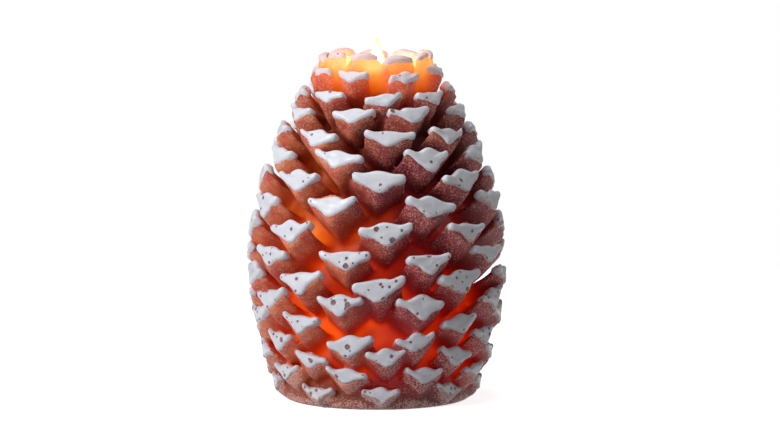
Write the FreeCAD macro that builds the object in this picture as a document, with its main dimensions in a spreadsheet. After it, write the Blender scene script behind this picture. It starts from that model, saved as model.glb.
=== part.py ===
"""A flameless pine-cone candle: a wax shell of snow-tipped scales, a moving-flame unit and a battery base.

Millimetres.  The origin is the centre of the foot, on the surface that the candle stands on.
+Z is up, -Y is the front, and +X is to the right for someone who looks at the front.
"""
import FreeCAD, Part
import math
import os
import random
import re

import Sketcher
from FreeCAD import Vector

document = FreeCAD.newDocument("PineConeCandle")
sheet = document.addObject("Spreadsheet::Sheet", "Dims")

# Driving dimensions: alias, value, meaning.
DIMENSIONS = [
    # the cone's outer form
    ("widest_radius", 53.3, "radius to the middle of the widest scale tips, snow included"),
    ("widest_height", 58, "height of the widest ring of scales"),
    ("crown_height", 145.5, "height at which the cone's outline ends"),
    ("foot_taper", 0.25, "share of the radius lost from the widest ring down to the foot"),
    ("crown_taper", 0.645, "share of the radius lost from the widest ring up to the crown"),
    # the wax body under the scales, and its bore
    ("foot_radius", 38.6, "wax foot, at the surface"),
    ("foot_swell", 39.6, "wax body just above the foot"),
    ("body_radius", 38.2, "wax body under the scales"),
    ("shoulder_radius", 36.4, "wax body where it starts to close in"),
    ("shoulder_height", 78, "height of that shoulder"),
    ("neck_radius", 23, "wax body at the neck"),
    ("neck_height", 110, "height of the neck"),
    ("rim_radius", 17.6, "outside of the rim round the flame well"),
    ("rim_height", 132, "top of that rim"),
    ("well_radius", 13.6, "inside of the flame well"),
    ("well_floor", 112, "height where the well opens into the light chamber"),
    ("chamber_radius", 30.8, "light chamber inside the wax"),
    ("bay_radius", 33.5, "bore at the foot that takes the base"),
    ("bay_height", 24, "height of that bore"),
    # the scales
    ("ring_count", 17, "rings of scales from the foot to the crown"),
    ("lowest_ring", 7.4, "height of the lowest ring of scale tips"),
    ("highest_ring", 143.2, "height of the highest ring"),
    ("scales_in_ring", 9, "scales in a ring of the lower half"),
    ("scales_in_high_ring", 8, "scales in a ring of the upper half"),
    ("first_high_ring", 8, "number of the upper half's first ring"),
    ("cone_turn", 4, "turn of all the rings under the crown, in degrees"),
    ("petals", 9, "upright scales round the well, in the crown's ring"),
    ("petal_turn", 5, "turn of the crown's ring, in degrees"),
    ("petal_sink", 2.2, "how much lower the crown's ring sits than the rings' spacing puts it"),
    ("petal_spread", 0.86, "the crown's half width as a share of half the spacing in its ring"),
    ("scale_spread", 0.58, "scale's half width as a share of half the spacing in its ring"),
    ("crown_spread", 0.76, "the same share near the crown"),
    ("scale_aspect", 0.27, "distance from a scale's centre to its keel as a share of its width"),
    ("root_share", 0.66, "size of a scale's root as a share of its tip"),
    ("root_depth", 2.5, "how deep a scale's root sits in the wax body"),
    ("snow_thickness", 1.3, "snow coat on a scale's tip"),
    # the moving flame
    ("flame_top", 149.5, "height of the flame's point"),
    ("flame_belly", 136, "height of the flame's widest place"),
    ("flame_neck", 126, "height where the flame narrows to its stem"),
    ("flame_width", 7.6, "width of the flame"),
    ("flame_thickness", 1.2, "thickness of the flame paddle"),
    ("stem_width", 4, "width of the paddle's stem"),
    ("pivot_height", 121.5, "height of the pivot wire"),
    ("pivot_radius", 0.4, "radius of the pivot wire"),
    ("pivot_gap", 0.08, "running clearance round the pivot wire"),
    ("magnet_radius", 2.5, "magnet at the foot of the paddle"),
    ("magnet_thickness", 2, "thickness of the magnet, along Y"),
    ("magnet_height", 106, "height of the magnet's centre"),
    ("magnet_margin", 0.8, "paddle round the magnet"),
    ("post_width", 3, "width of a post that holds the pivot wire"),
    ("post_depth", 1.6, "thickness of that post"),
    ("post_inset", 2.2, "distance of that post from the deck's edge"),
    ("post_over_wire", 1.4, "height of that post over the wire's axis"),
    ("slot_length", 12, "slot in the deck, along X"),
    ("slot_width", 4, "slot in the deck, along Y"),
    ("wire_bore_gap", 0.02, "clearance of the wire in its posts"),
    ("wire_inset", 2, "distance of the wire's ends from the tower's outside"),
    ("aimed_light_radius", 1.5, "barrel of the light that shines on the flame"),
    ("aimed_light_length", 3.4, "length of that barrel"),
    ("aimed_light_lean", 28, "lean of that light towards the flame, in degrees"),
    ("holder_side", 4.6, "side of the block that holds it"),
    ("holder_height", 3, "height of that block"),
    # the tower
    ("tower_radius", 12.5, "outside of the tower"),
    ("tower_wall", 1.5, "wall of the tower"),
    ("tower_foot", 24.6, "underside of the tower, on the light board"),
    ("tower_top", 116.8, "top of the tower, under the deck"),
    ("tower_flange", 15.5, "radius of the tower's foot flange"),
    ("shelf_height", 84, "top of the shelf that carries the coil"),
    ("deck_thickness", 1.6, "thickness of the deck under the flame"),
    ("seam_gap", 0.1, "gap between the tower's halves"),
    # the coil
    ("coil_height", 12, "height of the bobbin"),
    ("coil_flange", 7, "radius of the bobbin's flanges"),
    ("coil_tube", 3, "radius of the bobbin's tube"),
    ("coil_core_radius", 1.9, "radius of the iron core"),
    ("winding_radius", 6.4, "outside of the winding"),
    ("flange_thickness", 1, "thickness of a bobbin's flange"),
    ("core_over_coil", 2.5, "how far the core stands out of the bobbin towards the magnet"),
    ("screw_line", 7.6, "distance of the tower's screws behind its middle"),
    ("boss_radius", 2.1, "boss round each of those screws"),
    ("head_radius", 2, "head of a screw"),
    ("head_sink", 6, "depth of that head under the tower's outside"),
    ("sheet_thickness", 1.6, "tower's flange and shelf"),
    # the boards
    ("board_thickness", 1.6, "thickness of the light board"),
    ("light_board_radius", 30, "radius of the light board"),
    ("driver_width", 16, "width of the driver board"),
    ("driver_foot", 34, "lower edge of the driver board"),
    ("driver_top", 80, "upper edge of the driver board"),
    ("driver_thickness", 1.2, "thickness of the driver board"),
    ("led_radius", 2.5, "a glow light's dome"),
    ("led_height", 8.6, "a glow light's height"),
    ("led_offset", 13.2, "distance of each glow light from the middle along X and along Y"),
    # the base
    ("base_radius", 33.4, "battery base"),
    ("base_foot", 2, "underside of the base, above the surface"),
    ("base_top", 23, "top of the base"),
    ("cell_radius", 7.15, "battery cell"),
    ("cell_length", 49.2, "battery cell without its button"),
    ("button_radius", 2.75, "button of a cell"),
    ("button_height", 1, "height of that button"),
    ("cell_spacing", 14.8, "distance between the two cells' axes"),
    ("cell_axis", 11.6, "height of the cells' axes"),
    ("bay_length", 54, "battery bay"),
    ("bay_width", 29.8, "width of the battery bay"),
    ("bay_roof", 19.4, "roof of the battery bay"),
    ("cover_thickness", 1.5, "battery cover"),
    ("cover_gap", 0.2, "gap round the battery cover"),
    ("cover_near", 26.2, "distance from the middle to the cover's edge at the hinge"),
    ("hinge_offset", 28.4, "distance from the middle to the cover's hinge"),
    ("hinge_radius", 1.4, "knuckle of the cover's hinge"),
    ("switch_offset", 23.5, "distance from the middle to the switch"),
    ("switch_travel", 4, "travel of the switch between its end positions, ON and TIMER, with OFF between"),
    ("screw_x", 18, "base screws, along X"),
    ("screw_y", 19, "base screws, along Y"),
    ("screw_radius", 1.1, "shank of a screw"),
]


def fill_sheet():
    """Write the driving dimensions into the spreadsheet, one row each."""
    for row, (alias, value, meaning) in enumerate(DIMENSIONS, start=1):
        sheet.set(f"A{row}", meaning)
        sheet.set(f"B{row}", str(value))
        sheet.setAlias(f"B{row}", alias)
    document.recompute()


fill_sheet()


def size(expression):
    """Number that an expression of sheet aliases stands for."""
    return float(sheet.evalExpression(expression))


def bound(expression):
    """The same expression as another object writes it: every word in it is an alias of the sheet."""
    return re.sub(r"([a-z_]+)", r"Dims.\1", expression)


# ---------------------------------------------------------------- helpers for the document's objects

def bind(item, **expressions):
    """Bind an object's properties to expressions of sheet aliases."""
    for name, expression in expressions.items():
        item.setExpression(name, bound(expression))


def place(item, x="0", y="0", z="0"):
    """Bind where an object stands."""
    for axis, expression in (("x", x), ("y", y), ("z", z)):
        if expression != "0":
            item.setExpression("Placement.Base." + axis, bound(expression))


def turn(item, axis, angle):
    """Turn an object about an axis through its own origin."""
    item.Placement = FreeCAD.Placement(item.Placement.Base, FreeCAD.Rotation(axis, angle))


def cylinder(name, radius, height, x="0", y="0", z="0"):
    item = document.addObject("Part::Cylinder", name)
    bind(item, Radius=radius, Height=height)
    place(item, x, y, z)
    return item


def box(name, length, width, height, x="0", y="0", z="0"):
    """Block whose x, y and z are its lowest corner."""
    item = document.addObject("Part::Box", name)
    bind(item, Length=length, Width=width, Height=height)
    place(item, x, y, z)
    return item


def fused(name, *items):
    item = document.addObject("Part::MultiFuse", name)
    item.Shapes = list(items)
    return item


def cut(name, base, tool):
    item = document.addObject("Part::Cut", name)
    item.Base = base
    item.Tool = tool
    return item


def coded(name, shape):
    """Object whose shape is made by this file's own code."""
    item = document.addObject("Part::Feature", name)
    item.Shape = shape
    return item


def new_body(name):
    return document.addObject("PartDesign::Body", name)


def plane_of(body, role):
    return next(part for part in body.Origin.OriginFeatures if part.Role == role)


def outline(body, name, role, points, offset="0"):
    """Closed sketch through points, each coordinate an expression; offset lifts it off its plane."""
    sketch = body.newObject("Sketcher::SketchObject", name)
    sketch.AttachmentSupport = (plane_of(body, role), [""])
    sketch.MapMode = "FlatFace"
    if offset != "0":
        sketch.setExpression("AttachmentOffset.Base.z", bound(offset))
    corners = [Vector(size(x), size(y), 0) for x, y in points]
    for index, corner in enumerate(corners):
        sketch.addGeometry(Part.LineSegment(corner, corners[(index + 1) % len(corners)]), False)
    for index in range(len(corners)):
        following = (index + 1) % len(corners)
        sketch.addConstraint(Sketcher.Constraint("Coincident", index, 2, following, 1))
    for index, (x, y) in enumerate(points):
        for kind, expression in (("DistanceX", x), ("DistanceY", y)):
            number = sketch.addConstraint(Sketcher.Constraint(kind, -1, 1, index, 1, size(expression)))
            sketch.setExpression(f"Constraints[{number}]", bound(expression))
    return sketch


def rectangle(body, name, role, low, high, offset="0"):
    """Rectangular sketch between two corners."""
    points = [(low[0], low[1]), (high[0], low[1]), (high[0], high[1]), (low[0], high[1])]
    return outline(body, name, role, points, offset)


def circles(body, name, role, radius, centres, offset="0"):
    """Sketch of equal circles."""
    sketch = body.newObject("Sketcher::SketchObject", name)
    sketch.AttachmentSupport = (plane_of(body, role), [""])
    sketch.MapMode = "FlatFace"
    if offset != "0":
        sketch.setExpression("AttachmentOffset.Base.z", bound(offset))
    for index, (x, y) in enumerate(centres):
        centre = Vector(size(x), size(y), 0)
        sketch.addGeometry(Part.Circle(centre, Vector(0, 0, 1), size(radius)), False)
        constraints = (
            (Sketcher.Constraint("Radius", index, size(radius)), radius),
            (Sketcher.Constraint("DistanceX", -1, 1, index, 3, centre.x), x),
            (Sketcher.Constraint("DistanceY", -1, 1, index, 3, centre.y), y),
        )
        for constraint, expression in constraints:
            number = sketch.addConstraint(constraint)
            sketch.setExpression(f"Constraints[{number}]", bound(expression))
    return sketch


def pad(body, sketch, length, name):
    """Add material upwards from a sketch."""
    feature = body.newObject("PartDesign::Pad", name)
    feature.Profile = sketch
    feature.setExpression("Length", bound(length))
    return feature


def pocket(body, sketch, depth, name, reverse=True):
    """Remove material; reverse cuts towards the sketch's own normal."""
    feature = body.newObject("PartDesign::Pocket", name)
    feature.Profile = sketch
    feature.setExpression("Length", bound(depth))
    feature.Reversed = reverse
    return feature


def revolve(body, sketch, name):
    """Turn a sketch of the XZ plane once round the Z axis."""
    feature = body.newObject("PartDesign::Revolution", name)
    feature.Profile = sketch
    feature.ReferenceAxis = (sketch, ["V_Axis"])
    feature.Angle = 360
    return feature


nodes = []


def node(name, item):
    """Name a finished sub-part, which is written to a file of that name."""
    item.Label = name
    nodes.append(item)
    return item


# ---------------------------------------------------------------- the wax cone

# Tip of a scale, and of an upright scale of the crown, in shares of its half width and half height.
SCALE_OUTLINE = [(-1.0, 0.52), (-0.45, 0.40), (0.0, 0.80), (0.45, 0.40), (1.0, 0.52), (0.0, -1.0)]
PETAL_OUTLINE = [(-0.96, -0.1), (-0.78, 0.45), (-0.35, 0.74), (0.35, 0.74), (0.78, 0.45), (0.96, -0.1),
                 (0.60, -0.80), (-0.60, -0.80)]
SMALLEST_OVERLAP = 0.001 # cubic millimetres in which two solids may touch
SNOW_INNER_SHARE = 0.97  # size of the snow where it meets the wax, as a share of the tip
SNOW_OUTER_SHARE = 0.80  # size of its outer face
RING_STEP = 7.4          # spacing of the rings before it is stretched to the cone's height
STEP_SWELL = 3.4         # how much wider it is at mid height
SWELL_RING = 7.5         # ring where it is widest
SWELL_REACH = 2.6        # rings that the swell reaches
STEP_GROWTH = 1.2        # how much the spacing grows from the foot to the crown
MISSING_SCALE = (4, 0)   # the cone has one scale missing, low at the front, as ring and number in it
GAP_REACH = 30           # degrees either side of the front, where the ring below closes in on that gap
GAP_CLOSING = 0.8        # share of their turn that the scales there keep
FACING = 12              # degrees that a tip faces upwards where the cone is widest
FACING_LOST_BELOW = 18   # degrees less at the foot
FACING_GAINED_ABOVE = 42 # degrees more at the crown
FOOT_RISE = 4            # height of a tip over its root at the foot
BODY_RISE, BODY_REACH = 6, 35                    # added rise, and the height over which it comes
CROWN_RISE, CROWN_START, CROWN_REACH = 4, 100, 45  # the same again near the crown, and where it starts
LOOSE_SEED = 7           # seed of the small unevenness of a hand-made mould
TURN_LOOSENESS = 4.0     # degrees either way
PETAL_LOOSENESS = 0.4    # the crown's share of it
HEIGHT_LOOSENESS = 1.1   # millimetres either way
ROLL_LOOSENESS = 7.0     # degrees either way
SIZE_LOOSENESS = 0.06    # share of the size either way


def wax_profile():
    """Outside of the turned body from the foot up, then its bore from the well down, as pairs of expressions."""
    outside = [
        ("foot_radius", "0"),
        ("foot_swell", "3"),
        ("body_radius", "bay_height"),
        ("body_radius", "widest_height"),
        ("shoulder_radius", "shoulder_height"),
        ("neck_radius", "neck_height"),
        ("rim_radius", "rim_height"),
    ]
    bore = [
        ("well_radius", "rim_height"),
        ("well_radius", "well_floor"),
        ("chamber_radius", "shoulder_height"),
        ("chamber_radius", "bay_height"),
        ("bay_radius", "bay_height"),
        ("bay_radius", "0"),
    ]
    return outside, bore


def wax_body():
    """The hollow turned body: foot, light chamber, neck and flame well."""
    body = new_body("WaxBody")
    outside, bore = wax_profile()
    revolve(body, outline(body, "WaxProfile", "XZ_Plane", outside + bore), "WaxTurned")
    return body


def filled_wax_body():
    """The space inside the turned body's outside, with no bore, which the scales' roots are trimmed by."""
    edge = [Vector(size(x), 0, size(z)) for x, z in wax_profile()[0]]
    loop = [Vector(0, 0, 0)] + edge + [Vector(0, 0, edge[-1].z), Vector(0, 0, 0)]
    return Part.Face(Part.makePolygon(loop)).revolve(Vector(0, 0, 0), Vector(0, 0, 1), 360)


def wax_body_radius(height):
    """Outside radius of the turned body at a height."""
    levels = [(size(height_of), size(radius_of)) for radius_of, height_of in wax_profile()[0]]
    for (low, low_radius), (high, high_radius) in zip(levels, levels[1:]):
        if height <= high:
            return low_radius + (high_radius - low_radius) * (height - low) / (high - low)
    return levels[-1][1]


def tip_radius(height):
    """Radius of the scale tips at a height: a barrel that closes in faster above than below."""
    widest = size("widest_height")
    if height < widest:
        share, taper = (widest - height) / widest, size("foot_taper")
    else:
        share, taper = (height - widest) / (size("crown_height") - widest), size("crown_taper")
    return size("widest_radius") * (1 - taper * share ** 2)


def ring_heights():
    """Heights of the rings of scale tips: the scales stand furthest apart at mid height."""
    count = int(size("ring_count"))
    steps = [RING_STEP + STEP_SWELL * math.exp(-((ring - SWELL_RING) / SWELL_REACH) ** 2) + STEP_GROWTH * ring / count
             for ring in range(count - 1)]
    stretch = (size("highest_ring") - size("lowest_ring")) / sum(steps)
    heights = [size("lowest_ring")]
    for step in steps:
        heights.append(heights[-1] + step * stretch)
    return heights


def scale_places():
    """Every scale as a dictionary: where its tip is, how it leans, and its size."""
    loose = random.Random(LOOSE_SEED)
    heights = ring_heights()
    lowest, crown = size("lowest_ring"), size("crown_height")
    places = []
    for ring, ring_height in enumerate(heights):
        is_crown = ring == len(heights) - 1
        count = int(size("scales_in_ring" if ring < size("first_high_ring") else "scales_in_high_ring"))
        count = int(size("petals")) if is_crown else count
        half_step = 0.5 if is_crown else 0.5 * (ring % 2)
        looseness = TURN_LOOSENESS * (PETAL_LOOSENESS if is_crown else 1)
        for number in range(count):
            turned = 360 / count * (number + half_step) + loose.uniform(-1, 1) * looseness
            turned = (turned + 180) % 360 - 180
            if ring == MISSING_SCALE[0] - 1 and abs(turned) < GAP_REACH:
                turned *= GAP_CLOSING
            turned += size("petal_turn" if is_crown else "cone_turn")
            height = ring_height + loose.uniform(-1, 1) * HEIGHT_LOOSENESS - (size("petal_sink") if is_crown else 0)
            roll = loose.uniform(-1, 1) * ROLL_LOOSENESS
            growth = 1 + loose.uniform(-1, 1) * SIZE_LOOSENESS
            if (ring, number) == MISSING_SCALE:
                continue
            above = max(0.0, (height - size("widest_height")) / (crown - size("widest_height")))
            below = max(0.0, 1 - height / size("widest_height"))
            spread = size("scale_spread") + (size("crown_spread") - size("scale_spread")) * above ** 2
            spread = size("petal_spread") if is_crown else spread
            body_share = min(1.0, (height - lowest) / BODY_REACH)
            crown_share = max(0.0, (height - CROWN_START) / CROWN_REACH)
            radius = tip_radius(height)
            places.append({
                "turned": math.radians(turned),
                "height": height,
                "radius": radius,
                "roll": math.radians(roll),
                "half_width": spread * math.pi * radius / count * growth,
                "facing": math.radians(FACING - FACING_LOST_BELOW * below + FACING_GAINED_ABOVE * above ** 2),
                "rise": FOOT_RISE + BODY_RISE * body_share + CROWN_RISE * crown_share,
                "outline": PETAL_OUTLINE if is_crown else SCALE_OUTLINE,
            })
    return places


def section(place_of, centre, grow):
    """The scale's outline round a centre, in the plane that its tip faces out of."""
    turned, facing, roll = place_of["turned"], place_of["facing"], place_of["roll"]
    outward = Vector(math.sin(turned), -math.cos(turned), 0)
    across = Vector(math.cos(turned), math.sin(turned), 0)
    upward = Vector(0, 0, math.cos(facing)) - outward * math.sin(facing)
    rolled_across = across * math.cos(roll) + upward * math.sin(roll)
    rolled_upward = upward * math.cos(roll) - across * math.sin(roll)
    half_width = place_of["half_width"] * grow
    half_height = 2 * half_width * size("scale_aspect")
    return [centre + rolled_across * (u * half_width) + rolled_upward * (v * half_height)
            for u, v in place_of["outline"]]


def frustum(first, second):
    """Closed solid between two outlines that have the same shape and lie in parallel planes."""
    faces = [Part.Face(Part.makePolygon(ring + ring[:1])) for ring in (first, second)]
    for index in range(len(first)):
        following = (index + 1) % len(first)
        corners = [first[index], first[following], second[following], second[index]]
        faces.append(Part.Face(Part.makePolygon(corners + corners[:1])))
    solid = Part.Solid(Part.Shell(faces))
    if solid.Volume < 0:
        solid.reverse()
    return solid


def tip_centre(place_of):
    """Middle of the wax tip, under the snow."""
    outward = Vector(math.sin(place_of["turned"]), -math.cos(place_of["turned"]), 0)
    radius = place_of["radius"] - size("snow_thickness") * math.cos(place_of["facing"])
    return outward * radius + Vector(0, 0, place_of["height"])


def scale_solid(place_of):
    """One scale: a wedge that grows outwards and upwards from the wax body."""
    outward = Vector(math.sin(place_of["turned"]), -math.cos(place_of["turned"]), 0)
    root_height = place_of["height"] - place_of["rise"]
    root = outward * (wax_body_radius(root_height) - size("root_depth")) + Vector(0, 0, root_height)
    return frustum(section(place_of, root, size("root_share")), section(place_of, tip_centre(place_of), 1.0))


def without(solid, others):
    """One solid without what lies inside the others, and without crumbs."""
    for other in others:
        if solid.BoundBox.intersect(other.BoundBox) and solid.common(other).Volume > SMALLEST_OVERLAP:
            solid = solid.cut(other)
    return max(solid.Solids, key=lambda part: part.Volume)


def snow_solid(place_of):
    """The snow on one scale's tip: a slab with sloping edges."""
    outward = Vector(math.sin(place_of["turned"]), -math.cos(place_of["turned"]), 0)
    normal = outward * math.cos(place_of["facing"]) + Vector(0, 0, math.sin(place_of["facing"]))
    centre = tip_centre(place_of)
    outer = centre + normal * size("snow_thickness")
    return frustum(section(place_of, centre, SNOW_INNER_SHARE), section(place_of, outer, SNOW_OUTER_SHARE))


def make_cone():
    """The wax casting, as its turned body and its scales, and the snow on the scales' tips."""
    places = scale_places()
    body = wax_body()
    document.recompute()
    under_scales = filled_wax_body()
    scales = []
    for place_of in places:
        scales.append(without(scale_solid(place_of), [under_scales] + scales))
    snow = [without(snow_solid(place_of), scales) for place_of in places]
    node("wax_body", body)
    node("wax_scales", coded("WaxScales", Part.makeCompound(scales)))
    node("snow_coat", coded("SnowCoat", Part.makeCompound(snow)))


# ---------------------------------------------------------------- the moving flame

def make_flame():
    """The flame paddle with its magnet, which hangs on the pivot wire and swings left and right."""
    body = new_body("FlamePaddle")
    holder = "(magnet_radius + magnet_margin)"
    shoulder, taper, point = "flame_width * 0.43", "flame_width * 0.24", "flame_width * 0.06"
    shoulder_low, shoulder_high, taper_height = "flame_neck + 5.5", "flame_belly + 4", "flame_top - 5"
    stem_foot = "magnet_height + magnet_radius + 3"
    points = [
        ("0 - " + holder, "magnet_height - " + holder),
        (holder, "magnet_height - " + holder),
        (holder, "magnet_height + " + holder),
        ("stem_width / 2", stem_foot),
        ("stem_width / 2", "flame_neck"),
        (shoulder, shoulder_low),
        ("flame_width / 2", "flame_belly"),
        (shoulder, shoulder_high),
        (taper, taper_height),
        (point, "flame_top"),
        ("0 - " + point, "flame_top"),
        ("0 - " + taper, taper_height),
        ("0 - " + shoulder, shoulder_high),
        ("0 - flame_width / 2", "flame_belly"),
        ("0 - " + shoulder, shoulder_low),
        ("0 - stem_width / 2", "flame_neck"),
        ("0 - stem_width / 2", stem_foot),
        ("0 - " + holder, "magnet_height + " + holder),
    ]
    sheet_of_flame = outline(body, "FlameOutline", "XZ_Plane", points, "0 - flame_thickness / 2")
    pad(body, sheet_of_flame, "flame_thickness", "FlamePad")
    document.recompute()
    hole = circles(body, "PivotHole", "XZ_Plane", "pivot_radius + pivot_gap", [("0", "pivot_height")])
    drill = pocket(body, hole, "flame_thickness * 2", "PivotDrill")
    drill.Midplane = True
    document.recompute()
    seat = circles(body, "MagnetSeat", "XZ_Plane", "magnet_radius", [("0", "magnet_height")])
    socket = pocket(body, seat, "flame_thickness * 2", "MagnetSocket")
    socket.Midplane = True
    node("flame_paddle", body)
    magnet = cylinder("Magnet", "magnet_radius", "magnet_thickness", y="magnet_thickness / 2", z="magnet_height")
    turn(magnet, Vector(1, 0, 0), 90)
    node("flame_magnet", magnet)


def make_deck():
    """The deck under the flame: a disc with a slot for the paddle and two posts for the pivot wire."""
    disc = cylinder("DeckDisc", "tower_radius", "deck_thickness", z="tower_top")
    post_size = "pivot_height + post_over_wire - tower_top - deck_thickness"
    post_foot = "tower_top + deck_thickness"
    front = box("FrontPost", "post_width", "post_depth", post_size, "0 - post_width / 2",
                "post_inset - tower_radius", post_foot)
    back = box("BackPost", "post_width", "post_depth", post_size, "0 - post_width / 2",
               "tower_radius - post_inset - post_depth", post_foot)
    solid_deck = fused("DeckBlank", disc, front, back)
    slot = box("DeckSlot", "slot_length", "slot_width", "deck_thickness * 3", "0 - slot_length / 2",
               "0 - slot_width / 2", "tower_top - deck_thickness")
    bore = cylinder("WireBore", "pivot_radius + wire_bore_gap", "tower_radius * 2", y="tower_radius",
                    z="pivot_height")
    turn(bore, Vector(1, 0, 0), 90)
    node("flame_deck", cut("FlameDeck", solid_deck, fused("DeckTools", slot, bore)))
    wire = cylinder("PivotWire", "pivot_radius", "tower_radius * 2 - 2 * wire_inset", y="tower_radius - wire_inset",
                    z="pivot_height")
    turn(wire, Vector(1, 0, 0), 90)
    node("pivot_wire", wire)


def make_flame_light():
    """The warm light beside the flame, tilted up at it, and the block that holds it on the deck."""
    left_of_flame, behind_flame, over_deck = 5.2, 4.6, 1.6
    foot = Vector(-left_of_flame, behind_flame, size("tower_top + deck_thickness") + over_deck)
    stand = box("HolderBlock", "holder_side", "holder_side", "holder_height",
                f"0 - {left_of_flame} - holder_side / 2", f"{behind_flame} - holder_side / 2",
                "tower_top + deck_thickness")
    socket = cylinder("HolderSocket", "aimed_light_radius + wire_bore_gap", "holder_height * 3")
    barrel = cylinder("LightBarrel", "aimed_light_radius", "aimed_light_length")
    light = fused("LightBody", barrel, light_dome("aimed_light_radius", "aimed_light_length"))
    tilt = FreeCAD.Rotation(Vector(behind_flame, left_of_flame, 0), size("aimed_light_lean"))
    for item in (socket, light):
        item.Placement = FreeCAD.Placement(foot, tilt)
    node("light_holder", cut("LightHolder", stand, socket))
    node("flame_light", light)


def light_dome(radius, height):
    """Round end of a light's lens, standing on its barrel."""
    dome = document.addObject("Part::Sphere", "Dome")
    bind(dome, Radius=radius)
    dome.Angle1 = 0
    place(dome, z=height)
    return dome


# ---------------------------------------------------------------- the tower and what it holds

TOWER_SCREW_HEIGHTS = (48, 100)


def make_tower():
    """Two half shells, left and right, with a foot flange, a shelf for the coil and screw bosses."""
    for side, name in ((-1, "tower_left"), (1, "tower_right")):
        title = name.title().replace("_", "")
        wall = cylinder(title + "Wall", "tower_radius", "tower_top - tower_foot", z="tower_foot")
        flange = cylinder(title + "Flange", "tower_flange", "sheet_thickness", z="tower_foot")
        hollow = cylinder(title + "Hollow", "tower_radius - tower_wall", "tower_top", z="tower_foot + sheet_thickness")
        floor_hole = cylinder(title + "FloorHole", "6", "8", z="tower_foot - 2")
        notch = box(title + "Notch", "9", "tower_radius + 4", "7", "-4.5", "0", "tower_foot + sheet_thickness")
        tube = cut(title + "Tube", fused(title + "Blank", wall, flange),
                   fused(title + "Tools", hollow, floor_hole, notch))
        shelf = cut(title + "Shelf",
                    cylinder(title + "ShelfDisc", "tower_radius - 1", "sheet_thickness",
                             z="shelf_height - sheet_thickness"),
                    cylinder(title + "ShelfHole", "coil_tube", "6", z="shelf_height - 4"))
        bosses = [tower_boss(title + f"Boss{number}", height) for number, height in enumerate(TOWER_SCREW_HEIGHTS)]
        bores = [tower_bore(title + f"Bore{number}", side, height)
                 for number, height in enumerate(TOWER_SCREW_HEIGHTS)]
        whole = cut(title + "Bored", fused(title + "Whole", tube, shelf, *bosses), fused(title + "Bores", *bores))
        far = "tower_flange * 2"
        half_low = "0 - tower_flange * 2" if side < 0 else "seam_gap / 2"
        half_width = far + (" - seam_gap / 2" if side < 0 else "")
        half = box(title + "Side", half_width, "tower_flange * 4", "tower_top * 2", half_low, "0 - tower_flange * 2")
        shell = document.addObject("Part::MultiCommon", title)
        shell.Shapes = [whole, half]
        node(name, shell)


def tower_boss(name, height):
    """Screw boss across the tower, trimmed by the tower's wall."""
    boss = cylinder(name + "Rod", "boss_radius", "tower_radius * 2", "0 - tower_radius", "screw_line", str(height))
    turn(boss, Vector(0, 1, 0), 90)
    trim = cylinder(name + "Trim", "tower_radius - 0.5", "8", z=str(height - 4))
    common = document.addObject("Part::MultiCommon", name)
    common.Shapes = [boss, trim]
    return common


def tower_bore(name, side, height):
    """Screw hole along X, with a counterbore for the head on the right-hand half."""
    bore = cylinder(name + "Hole", "screw_radius + 0.05", "tower_radius * 2", "0 - tower_radius", "screw_line",
                    str(height))
    turn(bore, Vector(0, 1, 0), 90)
    if side < 0:
        return bore
    head = cylinder(name + "Head", "head_radius + 0.05", "tower_radius", "tower_radius - head_sink", "screw_line",
                    str(height))
    turn(head, Vector(0, 1, 0), 90)
    return fused(name, bore, head)


def tower_screw(number, height):
    """Screw from the right-hand half into the left-hand one."""
    shank = cylinder(f"TowerShank{number}", "screw_radius", "12", "tower_radius - head_sink - 12", "screw_line",
                     str(height))
    head = cylinder(f"TowerHead{number}", "head_radius", "1.6", "tower_radius - head_sink", "screw_line", str(height))
    for item in (shank, head):
        turn(item, Vector(0, 1, 0), 90)
    return fused(f"TowerScrew{number}", shank, head)


def make_tower_screws():
    for number, height in enumerate(TOWER_SCREW_HEIGHTS):
        node("tower_screw_" + ("lower", "upper")[number], tower_screw(number, height))


def make_coil():
    """The drive coil under the magnet: bobbin, winding and iron core."""
    top = "shelf_height + coil_height"
    lower = cylinder("BobbinLower", "coil_flange", "flange_thickness", z="shelf_height")
    upper = cylinder("BobbinUpper", "coil_flange", "flange_thickness", z=top + " - flange_thickness")
    tube = cylinder("BobbinTube", "coil_tube", "coil_height", z="shelf_height")
    bore = cylinder("BobbinBore", "coil_core_radius + 0.05", "coil_height * 3", z="shelf_height - coil_height")
    node("coil_bobbin", cut("CoilBobbin", fused("BobbinBlank", lower, upper, tube), bore))
    outer = cylinder("WindingOuter", "winding_radius", "coil_height - 2 * flange_thickness",
                     z="shelf_height + flange_thickness")
    inner = cylinder("WindingInner", "coil_tube", "coil_height * 2", z="shelf_height - 2")
    node("coil_winding", cut("CoilWinding", outer, inner))
    node("coil_core", cylinder("CoilCore", "coil_core_radius", "coil_height + core_over_coil", z="shelf_height"))


def make_driver():
    """The driver board upright in the tower, with its chip, capacitor and resistors."""
    board = box("DriverBoard", "driver_width", "driver_thickness", "driver_top - driver_foot",
                "0 - driver_width / 2", "0 - driver_thickness / 2", "driver_foot")
    node("driver_board", board)
    front = "0 - driver_thickness / 2"
    node("driver_chip", box("DriverChip", "5", "1.6", "4", "-4", front + " - 1.6", "driver_foot + 26"))
    capacitor = cylinder("Capacitor", "2.5", "7", "3", front, "driver_foot + 14")
    turn(capacitor, Vector(1, 0, 0), 90)
    node("capacitor", capacitor)
    for name, height in (("resistor_lower", "driver_foot + 8"), ("resistor_upper", "driver_foot + 36")):
        resistor = cylinder(name.title().replace("_", ""), "0.9", "4", "-5", front + " - 0.9", height)
        turn(resistor, Vector(0, 1, 0), 90)
        node(name, resistor)


# ---------------------------------------------------------------- the light board

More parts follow.
